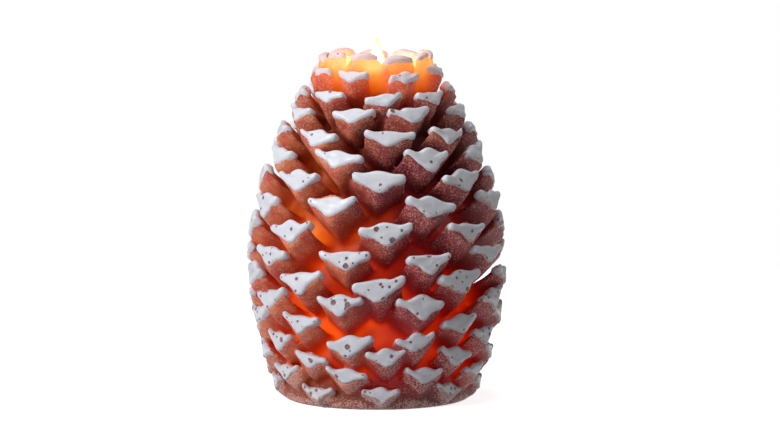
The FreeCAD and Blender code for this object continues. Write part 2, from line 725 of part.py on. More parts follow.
def make_light_board():
    """The round board on the base, with its four glow lights."""
    body = new_body("LightBoard")
    disc = circles(body, "BoardDisc", "XY_Plane", "light_board_radius", [("0", "0")], "base_top")
    pad(body, disc, "board_thickness", "BoardPad")
    document.recompute()
    holes = circles(body, "BoardScrewHoles", "XY_Plane", "screw_radius + 0.2", SCREW_CENTRES, "base_top")
    pocket(body, holes, "board_thickness * 2", "BoardDrill")
    document.recompute()
    middle = circles(body, "BoardMiddle", "XY_Plane", "5", [("0", "0")], "base_top")
    pocket(body, middle, "board_thickness * 2", "BoardMiddleHole")
    for name, y in TAB_PLACES:
        rectangle_pocket(body, "Board" + name, ("0 - bay_length / 2 - 0.1", y + " - 1.2"),
                         ("0.5 - bay_length / 2", y + " + 1.2"), "base_top", "board_thickness * 2")
    node("light_board", body)
    top = "base_top + board_thickness"
    corners = [("0 - led_offset", "0 - led_offset"), ("led_offset", "0 - led_offset"),
               ("led_offset", "led_offset"), ("0 - led_offset", "led_offset")]
    for number, (x, y) in enumerate(corners, start=1):
        flange = cylinder(f"GlowFlange{number}", "led_radius + 0.4", "1", x, y, top)
        barrel = cylinder(f"GlowBarrel{number}", "led_radius", "led_height - led_radius", x, y, top)
        dome = document.addObject("Part::Sphere", f"GlowDome{number}")
        bind(dome, Radius="led_radius")
        place(dome, x, y, top + " + led_height - led_radius")
        node(f"glow_light_{number}", fused(f"GlowLight{number}", flange, barrel, dome))


SCREW_CENTRES = [("screw_x", "screw_y"), ("0 - screw_x", "screw_y"),
                 ("screw_x", "0 - screw_y"), ("0 - screw_x", "0 - screw_y")]


TAB_PLACES = [("FrontTabSlit", "0 - cell_spacing / 2"), ("BackTabSlit", "cell_spacing / 2")]


def make_leads():
    """Two leads from the light board into the tower and up to the driver board."""
    wire_radius = 0.55
    bend = 2.6
    start_height = size("base_top + board_thickness")
    for name, x in (("lead_red", -3.0), ("lead_black", 3.0)):
        back = 17.0
        at_board = size("driver_thickness") / 2 + wire_radius
        level = start_height + 6.2
        route = [Vector(x, back, start_height), Vector(x, back, level), Vector(x, at_board, level),
                 Vector(x, at_board, size("driver_foot") + 4)]
        node(name, coded(name.title().replace("_", ""), tube_along(route, wire_radius, bend)))


def tube_along(route, radius, bend):
    """Round tube along straight runs that are joined by arcs of one bend radius, for square turns."""
    edges = []
    reached = route[0]
    for corner, following in zip(route[1:], route[2:]):
        before = (corner - reached).normalize()
        after = (following - corner).normalize()
        begin = corner - before * bend
        finish = corner + after * bend
        middle = corner + (after - before) * (bend * (1 - math.sqrt(0.5)))
        edges.append(Part.LineSegment(reached, begin).toShape())
        edges.append(Part.Arc(begin, middle, finish).toShape())
        reached = finish
    edges.append(Part.LineSegment(reached, route[-1]).toShape())
    path = Part.Wire(edges)
    direction = (route[1] - route[0]).normalize()
    ring = Part.Wire([Part.Circle(route[0], direction, radius).toShape()])
    return path.makePipeShell([ring], True, False)


# ---------------------------------------------------------------- the battery base

def make_base():
    """The round base: battery bay and cover recess below, switch and wiring rooms from above."""
    body = new_body("BaseHousing")
    disc = circles(body, "BaseDisc", "XY_Plane", "base_radius", [("0", "0")], "base_foot")
    pad(body, disc, "base_top - base_foot", "BasePad")
    document.recompute()
    half_bay = ("bay_length / 2", "bay_width / 2")
    rectangle_pocket(body, "BatteryBay", ("0 - " + half_bay[0], "0 - " + half_bay[1]), half_bay,
                     "base_foot", "bay_roof - base_foot")
    rim = "(1 + cover_gap)"
    rectangle_pocket(body, "CoverRecess", ("0 - cover_near - 0.7", "0 - " + half_bay[1] + " - " + rim),
                     ("bay_length / 2 + " + rim, half_bay[1] + " + " + rim), "base_foot", "cover_thickness + 0.1")
    for name, low, high in (("LeftArmRoom", "0 - 12.2", "0 - 5.8"), ("RightArmRoom", "5.8", "12.2")):
        rectangle_pocket(body, name, ("0 - hinge_offset - 1.8", low), ("0 - cover_near + 0.4", high),
                         "base_foot", "cover_thickness + hinge_radius + 0.4")
    rectangle_pocket(body, "SwitchRoom", ("0 - 12", "0 - 28"), ("12", "0 - 18.5"), "base_foot + 2",
                     "base_top - base_foot")
    rectangle_pocket(body, "SwitchWindow", ("0 - switch_travel / 2 - 1.8", "0 - switch_offset - 1.8"),
                     ("switch_travel / 2 + 1.8", "0 - switch_offset + 1.8"), "base_foot", "3")
    rectangle_pocket(body, "WiringRoom", ("0 - 12", "18.5"), ("12", "28"), "base_foot + 2", "base_top - base_foot")
    for name, y in TAB_PLACES:
        rectangle_pocket(body, name, ("0 - bay_length / 2 - 0.1", y + " - 1.2"),
                         ("0.5 - bay_length / 2", y + " + 1.2"), "bay_roof - 0.5", "base_top")
    holes = circles(body, "BaseScrewHoles", "XY_Plane", "screw_radius + 0.05", SCREW_CENTRES, "base_top - 8")
    pocket(body, holes, "9", "BaseDrill")
    pins = box("PinRoom", "2 * (hinge_radius - 0.64)", "26.4", "2 * (hinge_radius - 0.64)",
               "0 - hinge_offset - hinge_radius + 0.64", "-13.2", "base_foot + cover_thickness - hinge_radius + 0.64")
    node("base_housing", cut("BaseWithPinRoom", body, pins))
    for number, (x, y) in enumerate(SCREW_CENTRES, start=1):
        shank = cylinder(f"BaseShank{number}", "screw_radius", "9", x, y, "base_top + board_thickness - 8")
        head = cylinder(f"BaseHead{number}", "2", "1.4", x, y, "base_top + board_thickness")
        node(f"base_screw_{number}", fused(f"BaseScrew{number}", shank, head))


def rectangle_pocket(body, name, low, high, foot, depth):
    """Pocket a rectangle upwards from a height."""
    sketch = rectangle(body, name + "Outline", "XY_Plane", low, high, foot)
    pocket(body, sketch, depth, name)
    document.recompute()


def make_cells():
    """Two battery cells side by side, turned opposite ways."""
    for name, side in (("battery_front", -1), ("battery_back", 1)):
        title = name.title().replace("_", "")
        body = new_body(title)
        points = [
            ("0", "0"),
            ("cell_radius - 0.6", "0"),
            ("cell_radius", "0.6"),
            ("cell_radius", "cell_length - 0.6"),
            ("cell_radius - 0.6", "cell_length"),
            ("button_radius", "cell_length"),
            ("button_radius", "cell_length + button_height"),
            ("0", "cell_length + button_height"),
        ]
        revolve(body, outline(body, title + "Profile", "XZ_Plane", points), title + "Turned")
        body.Placement = FreeCAD.Placement(Vector(0, 0, 0), FreeCAD.Rotation(Vector(0, 1, 0), -90 * side))
        place(body, f"{side} * (cell_length + button_height) / 2", f"{side} * cell_spacing / 2", "cell_axis")
        node(name, body)


def spring(x, side, y):
    """Spring between a contact plate and a cell, as a close helix."""
    room = size("(bay_length - cell_length - button_height) / 2 - 0.4")
    helix = Part.makeHelix(room / 4, room - 0.52, 3.6, 0)
    wire = Part.Wire(helix.Edges)
    start = wire.Edges[0].valueAt(wire.Edges[0].FirstParameter)
    profile = Part.Wire([Part.Circle(start, Vector(0, 1, 0), 0.22).toShape()])
    coil = wire.makePipeShell([profile], True, True)
    coil.Placement = FreeCAD.Placement(Vector(x, y, size("cell_axis")), FreeCAD.Rotation(Vector(0, 1, 0), 90 * side))
    return coil


def make_contacts():
    """The contact plates: a spring and a button at the hinge end, and the link at the other end."""
    reach, thick = size("bay_length / 2"), 0.4
    middle, spacing = size("cell_axis"), size("cell_spacing / 2")
    press_length = size("(bay_length - cell_length - button_height) / 2") - thick - 0.05
    tab_height = size("base_top + board_thickness + 0.4") - middle - 5

    def plate(x, low, high):
        return Part.makeBox(thick, high - low, 10, Vector(x, low, middle - 5))

    def press(x, y, direction):
        return Part.makeCylinder(2, press_length, Vector(x, y, middle), Vector(direction, 0, 0))

    def tab(y):
        return Part.makeBox(thick, 2, tab_height, Vector(-reach, y - 1, middle + 5))

    spring_plate = plate(-reach, -spacing - 5, -spacing + 5).fuse(tab(-spacing))
    button_plate = plate(-reach, spacing - 5, spacing + 5).fuse([tab(spacing), press(thick - reach, spacing, 1)])
    link_plate = plate(reach - thick, -spacing - 5, spacing + 5).fuse(press(reach - thick, -spacing, -1))
    node("spring_contact", coded("SpringContact", spring_plate))
    node("button_contact", coded("ButtonContact", button_plate))
    node("link_contact", coded("LinkContact", link_plate))
    node("front_spring", coded("FrontSpring", spring(thick - reach + 0.25, 1, -spacing)))
    node("back_spring", coded("BackSpring", spring(reach - thick - 0.25, -1, spacing)))


def make_cover():
    """The battery cover: plate, two hinge arms with knuckles and pins, and a latch tongue."""
    plate = box("CoverPlate", "cover_near + bay_length / 2 + 0.8", "bay_width + 2", "cover_thickness",
                "0 - cover_near", "0 - bay_width / 2 - 1", "base_foot")
    tongue = box("CoverTongue", "1.2", "8", "3", "bay_length / 2 - 1.4", "-4", "base_foot + cover_thickness")
    grip = box("CoverGrip", "1.2", "9", "0.9", "bay_length / 2 - 3", "-4.5", "base_foot")
    parts = [plate, tongue]
    for name, low in (("Front", -11.8), ("Back", 6.2)):
        parts.append(box(name + "Arm", "hinge_offset - cover_near + 1", "5.6", "cover_thickness - 0.1",
                         "0 - hinge_offset", str(low), "base_foot + 0.1"))
        parts.append(along_y(name + "Knuckle", "hinge_radius", low, 5.6))
    parts.append(along_y("FrontPin", "0.7", -12.8, 1.2))
    parts.append(along_y("BackPin", "0.7", 11.6, 1.2))
    node("battery_cover", cut("BatteryCover", fused("CoverBlank", *parts), grip))


def along_y(name, radius, low, length):
    """Cylinder along Y on the cover's hinge axis."""
    item = cylinder(name, radius, str(length), "0 - hinge_offset", str(low + length), "base_foot + cover_thickness")
    turn(item, Vector(1, 0, 0), 90)
    return item


def make_switch():
    """The slide switch: a frame with three terminals, and the slider whose nub shows under the base."""
    can = box("SwitchCan", "15", "6.4", "5", "-7.5", "0 - switch_offset - 3.2", "base_foot + 2")
    room = box("SwitchRoomInside", "13.4", "4.8", "3.2", "-6.7", "0 - switch_offset - 2.4", "base_foot + 1")
    pins = [cylinder(f"SwitchPin{number}", "0.35", "base_top - base_foot - 7", str(x), "0 - switch_offset",
                     "base_foot + 7") for number, x in enumerate((-4, 0, 4))]
    node("switch_frame", cut("SwitchFrame", fused("SwitchBlank", can, *pins), room))
    plate = box("SliderPlate", "5.2", "4.4", "1.6", "switch_travel / 2 - 2.6", "0 - switch_offset - 2.2",
                "base_foot + 2.2")
    nub = box("SliderNub", "2.6", "2.6", "4.4", "switch_travel / 2 - 1.3", "0 - switch_offset - 1.3", "base_foot - 1.3")
    node("switch_slider", fused("SwitchSlider", plate, nub))


# ---------------------------------------------------------------- build, check and write

def check_and_write():
    """Stop on any failed object, then write every sub-part to its own file."""
    document.recompute()
    failed = [item.Name for item in document.Objects if {"Invalid", "Error"} & set(item.State)]
    failed += [item.Label for item in nodes if item.Shape.isNull() or not item.Shape.isValid()]
    if failed:
        raise RuntimeError("objects that failed: " + ", ".join(failed))
    os.makedirs("parts", exist_ok=True)
    for item in nodes:
        item.Shape.exportStep(os.path.join("parts", item.Label + ".step"))
        bounds = item.Shape.BoundBox
        spans = "  ".join(f"{low:8.2f}..{high:7.2f}" for low, high in (
            (bounds.XMin, bounds.XMax), (bounds.YMin, bounds.YMax), (bounds.ZMin, bounds.ZMax)))
        print(f"{item.Label:18} solids {len(item.Shape.Solids):3}  volume {item.Shape.Volume:10.1f}  {spans}")


make_cone()
make_flame()
make_deck()
make_flame_light()
make_tower()
make_tower_screws()
make_coil()
make_driver()
make_light_board()
make_leads()
make_base()
make_cells()
make_contacts()
make_cover()
make_switch()
check_and_write()
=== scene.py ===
"""Looks of the flameless pine-cone candle: cast wax, thick snow on the scales, and the light inside."""

import math
import random

import bmesh
import bpy
import numpy as np
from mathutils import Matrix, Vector, noise


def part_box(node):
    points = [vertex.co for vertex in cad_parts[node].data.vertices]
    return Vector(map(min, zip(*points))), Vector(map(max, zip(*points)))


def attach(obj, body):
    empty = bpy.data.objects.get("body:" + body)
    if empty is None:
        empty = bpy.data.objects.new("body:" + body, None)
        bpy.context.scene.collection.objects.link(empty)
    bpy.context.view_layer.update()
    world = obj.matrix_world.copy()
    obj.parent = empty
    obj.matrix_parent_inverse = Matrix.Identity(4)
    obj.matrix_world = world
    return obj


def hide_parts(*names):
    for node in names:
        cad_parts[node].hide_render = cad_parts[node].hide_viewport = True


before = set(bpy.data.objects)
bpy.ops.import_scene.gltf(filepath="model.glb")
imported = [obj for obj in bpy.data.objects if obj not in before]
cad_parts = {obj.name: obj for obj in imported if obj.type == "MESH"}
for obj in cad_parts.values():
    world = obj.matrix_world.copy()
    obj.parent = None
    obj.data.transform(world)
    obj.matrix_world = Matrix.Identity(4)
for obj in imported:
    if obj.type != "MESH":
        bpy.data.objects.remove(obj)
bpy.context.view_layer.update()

MM = 0.001


# ------------------------ the plan of the scales, in millimetres
# It repeats the plan in the part's source, with the same seed and the same order of random draws.

WIDEST_RADIUS, WIDEST_HEIGHT = 53.3, 58
CROWN_HEIGHT = 145.5
FOOT_TAPER, CROWN_TAPER = 0.25, 0.645
RING_COUNT = 17
LOWEST_RING, HIGHEST_RING = 7.4, 143.2
SCALES_IN_RING, SCALES_IN_HIGH_RING, FIRST_HIGH_RING, PETALS = 9, 8, 8, 9
CONE_TURN, PETAL_TURN, PETAL_SINK = 4, 5, 2.2
SCALE_SPREAD, CROWN_SPREAD, PETAL_SPREAD = 0.58, 0.76, 0.86
SCALE_ASPECT = 0.27
ROOT_DEPTH = 2.5
SNOW_THICKNESS = 1.3
RING_STEP, STEP_SWELL, SWELL_RING, SWELL_REACH, STEP_GROWTH = 7.4, 3.4, 7.5, 2.6, 1.2
MISSING_SCALE = (4, 0)                  # its ring and its number in the ring
GAP_REACH, GAP_CLOSING = 30, 0.8        # the scales below the gap, within these degrees, close in
FACING, FACING_LOST_BELOW, FACING_GAINED_ABOVE = 12, 18, 42
FOOT_RISE, BODY_RISE, BODY_REACH = 4, 6, 35
CROWN_RISE, CROWN_START, CROWN_REACH = 4, 100, 45
LOOSE_SEED, WAX_SEED, SNOW_SEED = 7, 11, 23
TURN_LOOSENESS, HEIGHT_LOOSENESS, ROLL_LOOSENESS, SIZE_LOOSENESS = 4.0, 1.1, 7.0, 0.06
PETAL_LOOSENESS = 0.4        # share of the turn looseness that the petals have

# Outside of the wax body, as radius and height.
BODY_OUTSIDE = [(38.6, 0), (39.6, 3), (38.2, 24), (38.2, 58), (36.4, 78), (23, 110), (17.6, 132)]


def tip_radius(height):
    """Radius of the scale tips at a height: a barrel that closes in faster above than below."""
    if height < WIDEST_HEIGHT:
        share, taper = (WIDEST_HEIGHT - height) / WIDEST_HEIGHT, FOOT_TAPER
    else:
        share, taper = (height - WIDEST_HEIGHT) / (CROWN_HEIGHT - WIDEST_HEIGHT), CROWN_TAPER
    return WIDEST_RADIUS * (1 - taper * share ** 2)


def ring_heights():
    """Heights of the rings of scale tips: the scales stand furthest apart at mid height."""
    steps = [RING_STEP + STEP_SWELL * math.exp(-((ring - SWELL_RING) / SWELL_REACH) ** 2)
             + STEP_GROWTH * ring / RING_COUNT for ring in range(RING_COUNT - 1)]
    stretch = (HIGHEST_RING - LOWEST_RING) / sum(steps)
    heights = [LOWEST_RING]
    for step in steps:
        heights.append(heights[-1] + step * stretch)
    return heights


def scale_places():
    """Every scale as a dictionary: where its tip is, how it leans, and its size."""
    loose = random.Random(LOOSE_SEED)
    heights = ring_heights()
    places = []
    for ring, ring_height in enumerate(heights):
        is_crown = ring == RING_COUNT - 1
        count = SCALES_IN_RING if ring < FIRST_HIGH_RING else SCALES_IN_HIGH_RING
        count = PETALS if is_crown else count
        half_step = 0.5 if is_crown else 0.5 * (ring % 2)
        looseness = TURN_LOOSENESS * (PETAL_LOOSENESS if is_crown else 1)
        for number in range(count):
            turned = 360 / count * (number + half_step) + loose.uniform(-1, 1) * looseness
            turned = (turned + 180) % 360 - 180
            if ring == MISSING_SCALE[0] - 1 and abs(turned) < GAP_REACH:
                turned *= GAP_CLOSING
            turned += PETAL_TURN if is_crown else CONE_TURN
            height = ring_height + loose.uniform(-1, 1) * HEIGHT_LOOSENESS - (PETAL_SINK if is_crown else 0)
            roll = loose.uniform(-1, 1) * ROLL_LOOSENESS
            growth = 1 + loose.uniform(-1, 1) * SIZE_LOOSENESS
            if (ring, number) == MISSING_SCALE:
                continue
            above = max(0.0, (height - WIDEST_HEIGHT) / (CROWN_HEIGHT - WIDEST_HEIGHT))
            below = max(0.0, 1 - height / WIDEST_HEIGHT)
            spread = PETAL_SPREAD if is_crown else SCALE_SPREAD + (CROWN_SPREAD - SCALE_SPREAD) * above ** 2
            body_share = min(1.0, (height - LOWEST_RING) / BODY_REACH)
            crown_share = max(0.0, (height - CROWN_START) / CROWN_REACH)
            radius = tip_radius(height)
            facing = FACING - FACING_LOST_BELOW * below + FACING_GAINED_ABOVE * above ** 2
            places.append({
                "is_petal": is_crown,
                "turned": math.radians(turned),
                "height": height,
                "radius": radius,
                "roll": math.radians(roll),
                "half_width": spread * math.pi * radius / count * growth,
                "facing": math.radians(facing),
                "rise": FOOT_RISE + BODY_RISE * body_share + CROWN_RISE * crown_share,
            })
    return places


def body_radius(height):
    """Outside radius of the wax body at a height."""
    heights = [point[1] for point in BODY_OUTSIDE]
    return float(np.interp(height, heights, [point[0] for point in BODY_OUTSIDE]))


class ScaleFrame:
    """Directions and places of one scale: across and up in its tip's plane, and out of it."""

    def __init__(self, place):
        turned, facing, roll = place["turned"], place["facing"], place["roll"]
        outward = Vector((math.sin(turned), -math.cos(turned), 0))
        across = Vector((math.cos(turned), math.sin(turned), 0))
        upward = Vector((0, 0, math.cos(facing))) - outward * math.sin(facing)
        self.across = across * math.cos(roll) + upward * math.sin(roll)
        self.upward = upward * math.cos(roll) - across * math.sin(roll)
        self.normal = outward * math.cos(facing) + Vector((0, 0, math.sin(facing)))
        self.half_width = place["half_width"]
        self.half_height = 2 * place["half_width"] * SCALE_ASPECT
        tip = place["radius"] - SNOW_THICKNESS * math.cos(facing)
        self.tip = outward * tip + Vector((0, 0, place["height"]))
        root_height = place["height"] - place["rise"]
        self.root = outward * (body_radius(root_height) - ROOT_DEPTH) + Vector((0, 0, root_height))
        self.axis = (self.tip - self.root).normalized()

    def point(self, centre, u, v):
        """Point at shares u and v of the half width and half height from a centre."""
        return centre + self.across * (u * self.half_width) + self.upward * (v * self.half_height)


def rounded(points, cuts=(0.14, 0.25, 0.25)):
    """Closed outline with its corners cut again and again, which rounds them."""
    for share in cuts:
        cut = []
        for index, point in enumerate(points):
            following = points[(index + 1) % len(points)]
            for part in (share, 1 - share):
                cut.append(tuple(a + (b - a) * part for a, b in zip(point, following)))
        points = cut
    return points


def evenly(points, count):
    """Closed outline resampled to points at even distances, starting from the first."""
    loop = np.array(points + points[:1])
    lengths = np.concatenate([[0], np.cumsum(np.linalg.norm(np.diff(loop, axis=0), axis=1))])
    wanted = np.linspace(0, lengths[-1], count, endpoint=False)
    across, upward = (np.interp(wanted, lengths, loop[:, axis]) for axis in (0, 1))
    return list(zip(across.tolist(), upward.tolist()))


# ------------------------ mesh helpers

class MeshMaker:
    """Collects points and faces in millimetres, with named numbers for each point."""

    def __init__(self, *names):
        self.points = []
        self.faces = []
        self.numbers = {name: [] for name in names}

    def add(self, point, **numbers):
        self.points.append(tuple(value * MM for value in point))
        for name, value in numbers.items():
            self.numbers[name].append(value)
        return len(self.points) - 1

    def band(self, first, second):
        """Quads between two closed rings of point numbers."""
        for index in range(len(first)):
            following = (index + 1) % len(first)
            self.faces.append((first[index], first[following], second[following], second[index]))

    def stack(self, rings):
        """Bands from each closed ring to the next."""
        for first, second in zip(rings, rings[1:]):
            self.band(first, second)

    def fan(self, ring, middle, flip=False):
        """Triangles from a closed ring to one point."""
        for index in range(len(ring)):
            following = (index + 1) % len(ring)
            corners = (ring[index], ring[following], middle)
            self.faces.append(corners[::-1] if flip else corners)

    def build(self, name):
        mesh = bpy.data.meshes.new(name)
        mesh.from_pydata(self.points, [], self.faces)
        for label, values in self.numbers.items():
            store(mesh, label, values)
        mesh.validate()
        mesh.update()
        piece = bpy.data.objects.new(name, mesh)
        bpy.context.scene.collection.objects.link(piece)
        finish_skin(piece)
        return piece


def store(mesh, name, values):
    """Store a number for each point of a mesh, for the materials to read."""
    mesh.attributes.new(name, "FLOAT", "POINT").data.foreach_set("value", values)


def shade_smooth(mesh):
    mesh.polygons.foreach_set("use_smooth", [True] * len(mesh.polygons))


def finish_skin(piece):
    """Turn a piece's faces outwards and shade them smooth."""
    work = bmesh.new()
    work.from_mesh(piece.data)
    bmesh.ops.recalc_face_normals(work, faces=work.faces)
    work.to_mesh(piece.data)
    work.free()
    shade_smooth(piece.data)


def applied(piece):
    """Apply a piece's modifiers to its mesh."""
    graph = bpy.context.evaluated_depsgraph_get()
    finished = bpy.data.meshes.new_from_object(piece.evaluated_get(graph))
    piece.modifiers.clear()
    old = piece.data
    piece.data = finished
    bpy.data.meshes.remove(old)
    return piece


def mesh_rows(mesh, what):
    """Places ("co") or normals ("normal") of a mesh's points, one row each."""
    flat = np.empty(len(mesh.vertices) * 3)
    mesh.vertices.foreach_get(what, flat)
    return flat.reshape(-1, 3)


def mesh_edges(mesh):
    flat = np.empty(len(mesh.edges) * 2, dtype=np.int64)
    mesh.edges.foreach_get("vertices", flat)
    return flat.reshape(-1, 2)


def neighbour_mean(values, edges):
    """Mean of each point's neighbours."""
    total = np.zeros_like(values)
    count = np.zeros(len(values))
    for here, there in ((0, 1), (1, 0)):
        np.add.at(total, edges[:, here], values[edges[:, there]])
        np.add.at(count, edges[:, here], 1)
    count = np.maximum(count, 1)
    return total / (count[:, None] if values.ndim == 2 else count)


# ------------------------ the cast wax

# A scale's wax at its tip and at its root, in shares of its half width and half height.
WAX_TIP = [(-1.02, 0.46), (-0.5, 0.42), (0.0, 0.74), (0.5, 0.42), (1.02, 0.46),
           (0.56, -0.32), (0.0, -1.18), (-0.56, -0.32)]
ROOT_TOP = [(-1.02, 0.30), (-0.5, 0.50), (0.0, 0.62), (0.5, 0.50), (1.02, 0.30)]
WAX_ROOT = ROOT_TOP + [(0.52, -0.56), (0.0, -1.55), (-0.52, -0.56)]
FOOT_ROOT = ROOT_TOP + [(0.60, -0.40), (0.0, -0.70), (-0.60, -0.40)]
PETAL_TIP = [(-1.20, -0.15), (-1.0, 0.42), (-0.55, 0.80), (0.0, 0.94), (0.55, 0.80), (1.0, 0.42),
             (1.20, -0.15), (0.86, -0.78), (0.30, -1.06), (-0.30, -1.06), (-0.86, -0.78)]
PETAL_ROOT = [(-1.12, 0.0), (-0.9, 0.35), (-0.5, 0.55), (0.0, 0.62), (0.5, 0.55), (0.9, 0.35),
              (1.12, 0.0), (0.76, -0.9), (0.30, -1.2), (-0.30, -1.2), (-0.76, -0.9)]
# Last sections of a scale: how far along it, its size, and how far it stands out beyond the tip.
SCALE_END = [(0.75, 1.0, 0.0), (0.875, 1.0, 0.0), (1.0, 0.99, 0.0), (1.0, 0.95, 0.5),
             (1.0, 0.84, 0.85), (1.0, 0.5, 1.0)]
PETAL_END = [(0.75, 1.02, 0.0), (0.86, 0.97, 0.0), (0.94, 0.88, 0.0), (1.0, 0.76, 0.0),
             (1.0, 0.60, 0.5), (1.0, 0.34, 0.9)]
WAX_VOXEL = 0.8              # millimetres
WAX_TRIANGLES = 190000
FOOT_BAND, FOOT_REACH = 3, 40.2      # up to this height, the wax stays within this radius plus its height
FLAT_BAND, BORE_REACH, BORE_TOP = 1.2, 35.5, 118      # the foot and the bore stay true
SECTION_POINTS = 28


def body_loop():
    """Closed profile of the wax body, with its edges eased as a casting's are."""
    outside = [(33.5, 0), (37.6, 0), (38.7, 0.6), (39.5, 2.6), (39.6, 6), (38.3, 24), (38.2, 58),
               (36.4, 78), (29.9, 94), (23, 110), (19.6, 122), (17.8, 130), (16.9, 131.6), (15.6, 132),
               (14.3, 131.5)]
    bore = [(13.6, 130), (13.6, 112), (30.8, 78), (30.8, 24), (33.5, 24)]
    return outside + bore


def add_body(maker):
    """The turned wax body as rings of points round the axis."""
    turns = 160
    loop = body_loop()
    rings = []
    for step in range(turns):
        angle = 2 * math.pi * step / turns
        rings.append([maker.add((r * math.sin(angle), -r * math.cos(angle), z)) for r, z in loop])
    maker.stack(rings + rings[:1])


def between(first, second, share):
    """Outline between two outlines of as many corners."""
    return [tuple(a + (b - a) * share for a, b in zip(*pair)) for pair in zip(first, second)]


def add_scale(maker, place, loose):
    """One cast scale: a fat wedge with a keel below, a dished top and a rounded tip."""
    scale = ScaleFrame(place)
    is_petal = place["is_petal"]
    low_down = max(0.0, 1 - (place["height"] - LOWEST_RING) / 22)
    tip_outline = evenly(rounded(PETAL_TIP if is_petal else WAX_TIP), SECTION_POINTS)
    root_corners = PETAL_ROOT if is_petal else between(WAX_ROOT, FOOT_ROOT, low_down)
    root_outline = evenly(rounded(root_corners), SECTION_POINTS)
    dome = 1.6 if is_petal else 0.5
    stations = [(step / 8, 1.0, 0.0) for step in range(6)] + (PETAL_END if is_petal else SCALE_END)
    length = (scale.tip - scale.root).length
    lean = loose.uniform(-0.8, 0.8)
    rings = []
    for along, grow, beyond in stations:
        sag = -0.07 * length * math.sin(math.pi * along)          # the scale curves up towards its tip
        centre = scale.root.lerp(scale.tip, along) + scale.upward * sag + scale.normal * (beyond * dome)
        centre += scale.across * (lean * math.sin(math.pi * along))
        outline = between(root_outline, tip_outline, along ** 0.8)
        rings.append([maker.add(scale.point(centre, u * grow, v * grow)) for u, v in outline])
    maker.stack(rings)
    maker.fan(rings[0], maker.add(scale.root), flip=True)
    maker.fan(rings[-1], maker.add(scale.tip + scale.normal * dome))


def add_unevenness(mesh):
    """Hand-made unevenness of the casting: soft lumps, and finer dents."""
    points = mesh_rows(mesh, "co")
    normals = mesh_rows(mesh, "normal")
    moved = np.empty(len(points))
    for index, point in enumerate(points):
        place = Vector(point)
        moved[index] = noise.noise(place * 130) * 0.32 + noise.noise(place * 420) * 0.14
    points[:, 2] = np.maximum(points[:, 2], 0)
    near_foot = points[:, 2] < FOOT_BAND * MM
    reach = np.hypot(points[:, 0], points[:, 1])
    widest = FOOT_REACH * MM + points[:, 2]
    pulled = np.where(near_foot & (reach > widest), widest / np.maximum(reach, MM), 1.0)
    points[:, :2] *= pulled[:, None]
    on_foot = points[:, 2] < FLAT_BAND * MM
    in_bore = np.hypot(points[:, 0], points[:, 1]) < BORE_REACH * MM
    moved[on_foot | (in_bore & (points[:, 2] < BORE_TOP * MM))] = 0
    points += normals * (moved * MM)[:, None]
    points[:, 2] = np.maximum(points[:, 2], 0)
    mesh.vertices.foreach_set("co", points.ravel())
    mesh.update()


LIGHT_OFFSET, LIGHT_HEIGHT = 13.2, 33
FLAME_HEIGHT = 136
# Absorption of red, green and blue light by each millimetre of wax.
ABSORPTION = np.array([0.28, 0.58, 1.10])
FLAME_ABSORPTION = np.array([0.20, 0.55, 1.20])
INNER_LIGHT = np.array([1.0, 0.62, 0.30])
FLAME_LIGHT = np.array([1.0, 0.60, 0.20])
# Thin and thick places of the wall: turn in degrees, height, reach across and up, and how much is lost.
WALL_CHANGES = [(-42, 64, 8, 13, 3.6), (-38, 88, 8, 8, 2.6), (-2, 36, 9, 7, 1.6),
                (-17, 15, 7, 5, 3.4), (18, 50, 12, 8, 0.9), (-14, 62, 9, 8, 0.8),
                (60, 85, 30, 45, -4.5), (12, 96, 24, 22, -2.5), (118, 52, 11, 14, 3.0),
                (200, 70, 11, 12, 3.0), (160, 30, 12, 8, 2.6), (245, 40, 11, 10, 2.8)]
GLOW_POWER, GLOW_CORE = 660, 150        # the core keeps the light finite close to its source
FLAME_POWER, FLAME_CORE = 530, 60
GLOW_RISE = 0.45                        # heights count less than distances across
GLOW_TOP, GLOW_FADE = 62, 26            # above this height the glow fades over this reach
FLAME_BOTTOM, FLAME_FADE = 129, 3.6     # below this height the flame's light fades over this reach
# Unevenness of the wall: features for each millimetre, and depth in millimetres.
LUMP_SCALE, LUMP_DEPTH = 0.045, 2.8
FINE_SCALE, FINE_DEPTH, FLAME_FINE_DEPTH = 0.16, 1.7, 0.8
# The wall counts as thicker below these heights, by this much for each millimetre.
LOW_WALLS = [(22, 0.36), (6, 1.6)]
# The flame's light goes through wax below this height and beyond these radii, by the same measure.
FLAME_LEVEL, LEVEL_GROWTH = 138, 0.42
FLAME_WALLS = [(17, 0.15), (23, 0.7)]


def bore_radius(height):
    """Radius of the lit hollow inside the wax at heights, in millimetres."""
    return np.interp(height, [0, 24, 78, 112, 132], [30.8, 30.8, 30.8, 13.6, 13.6])


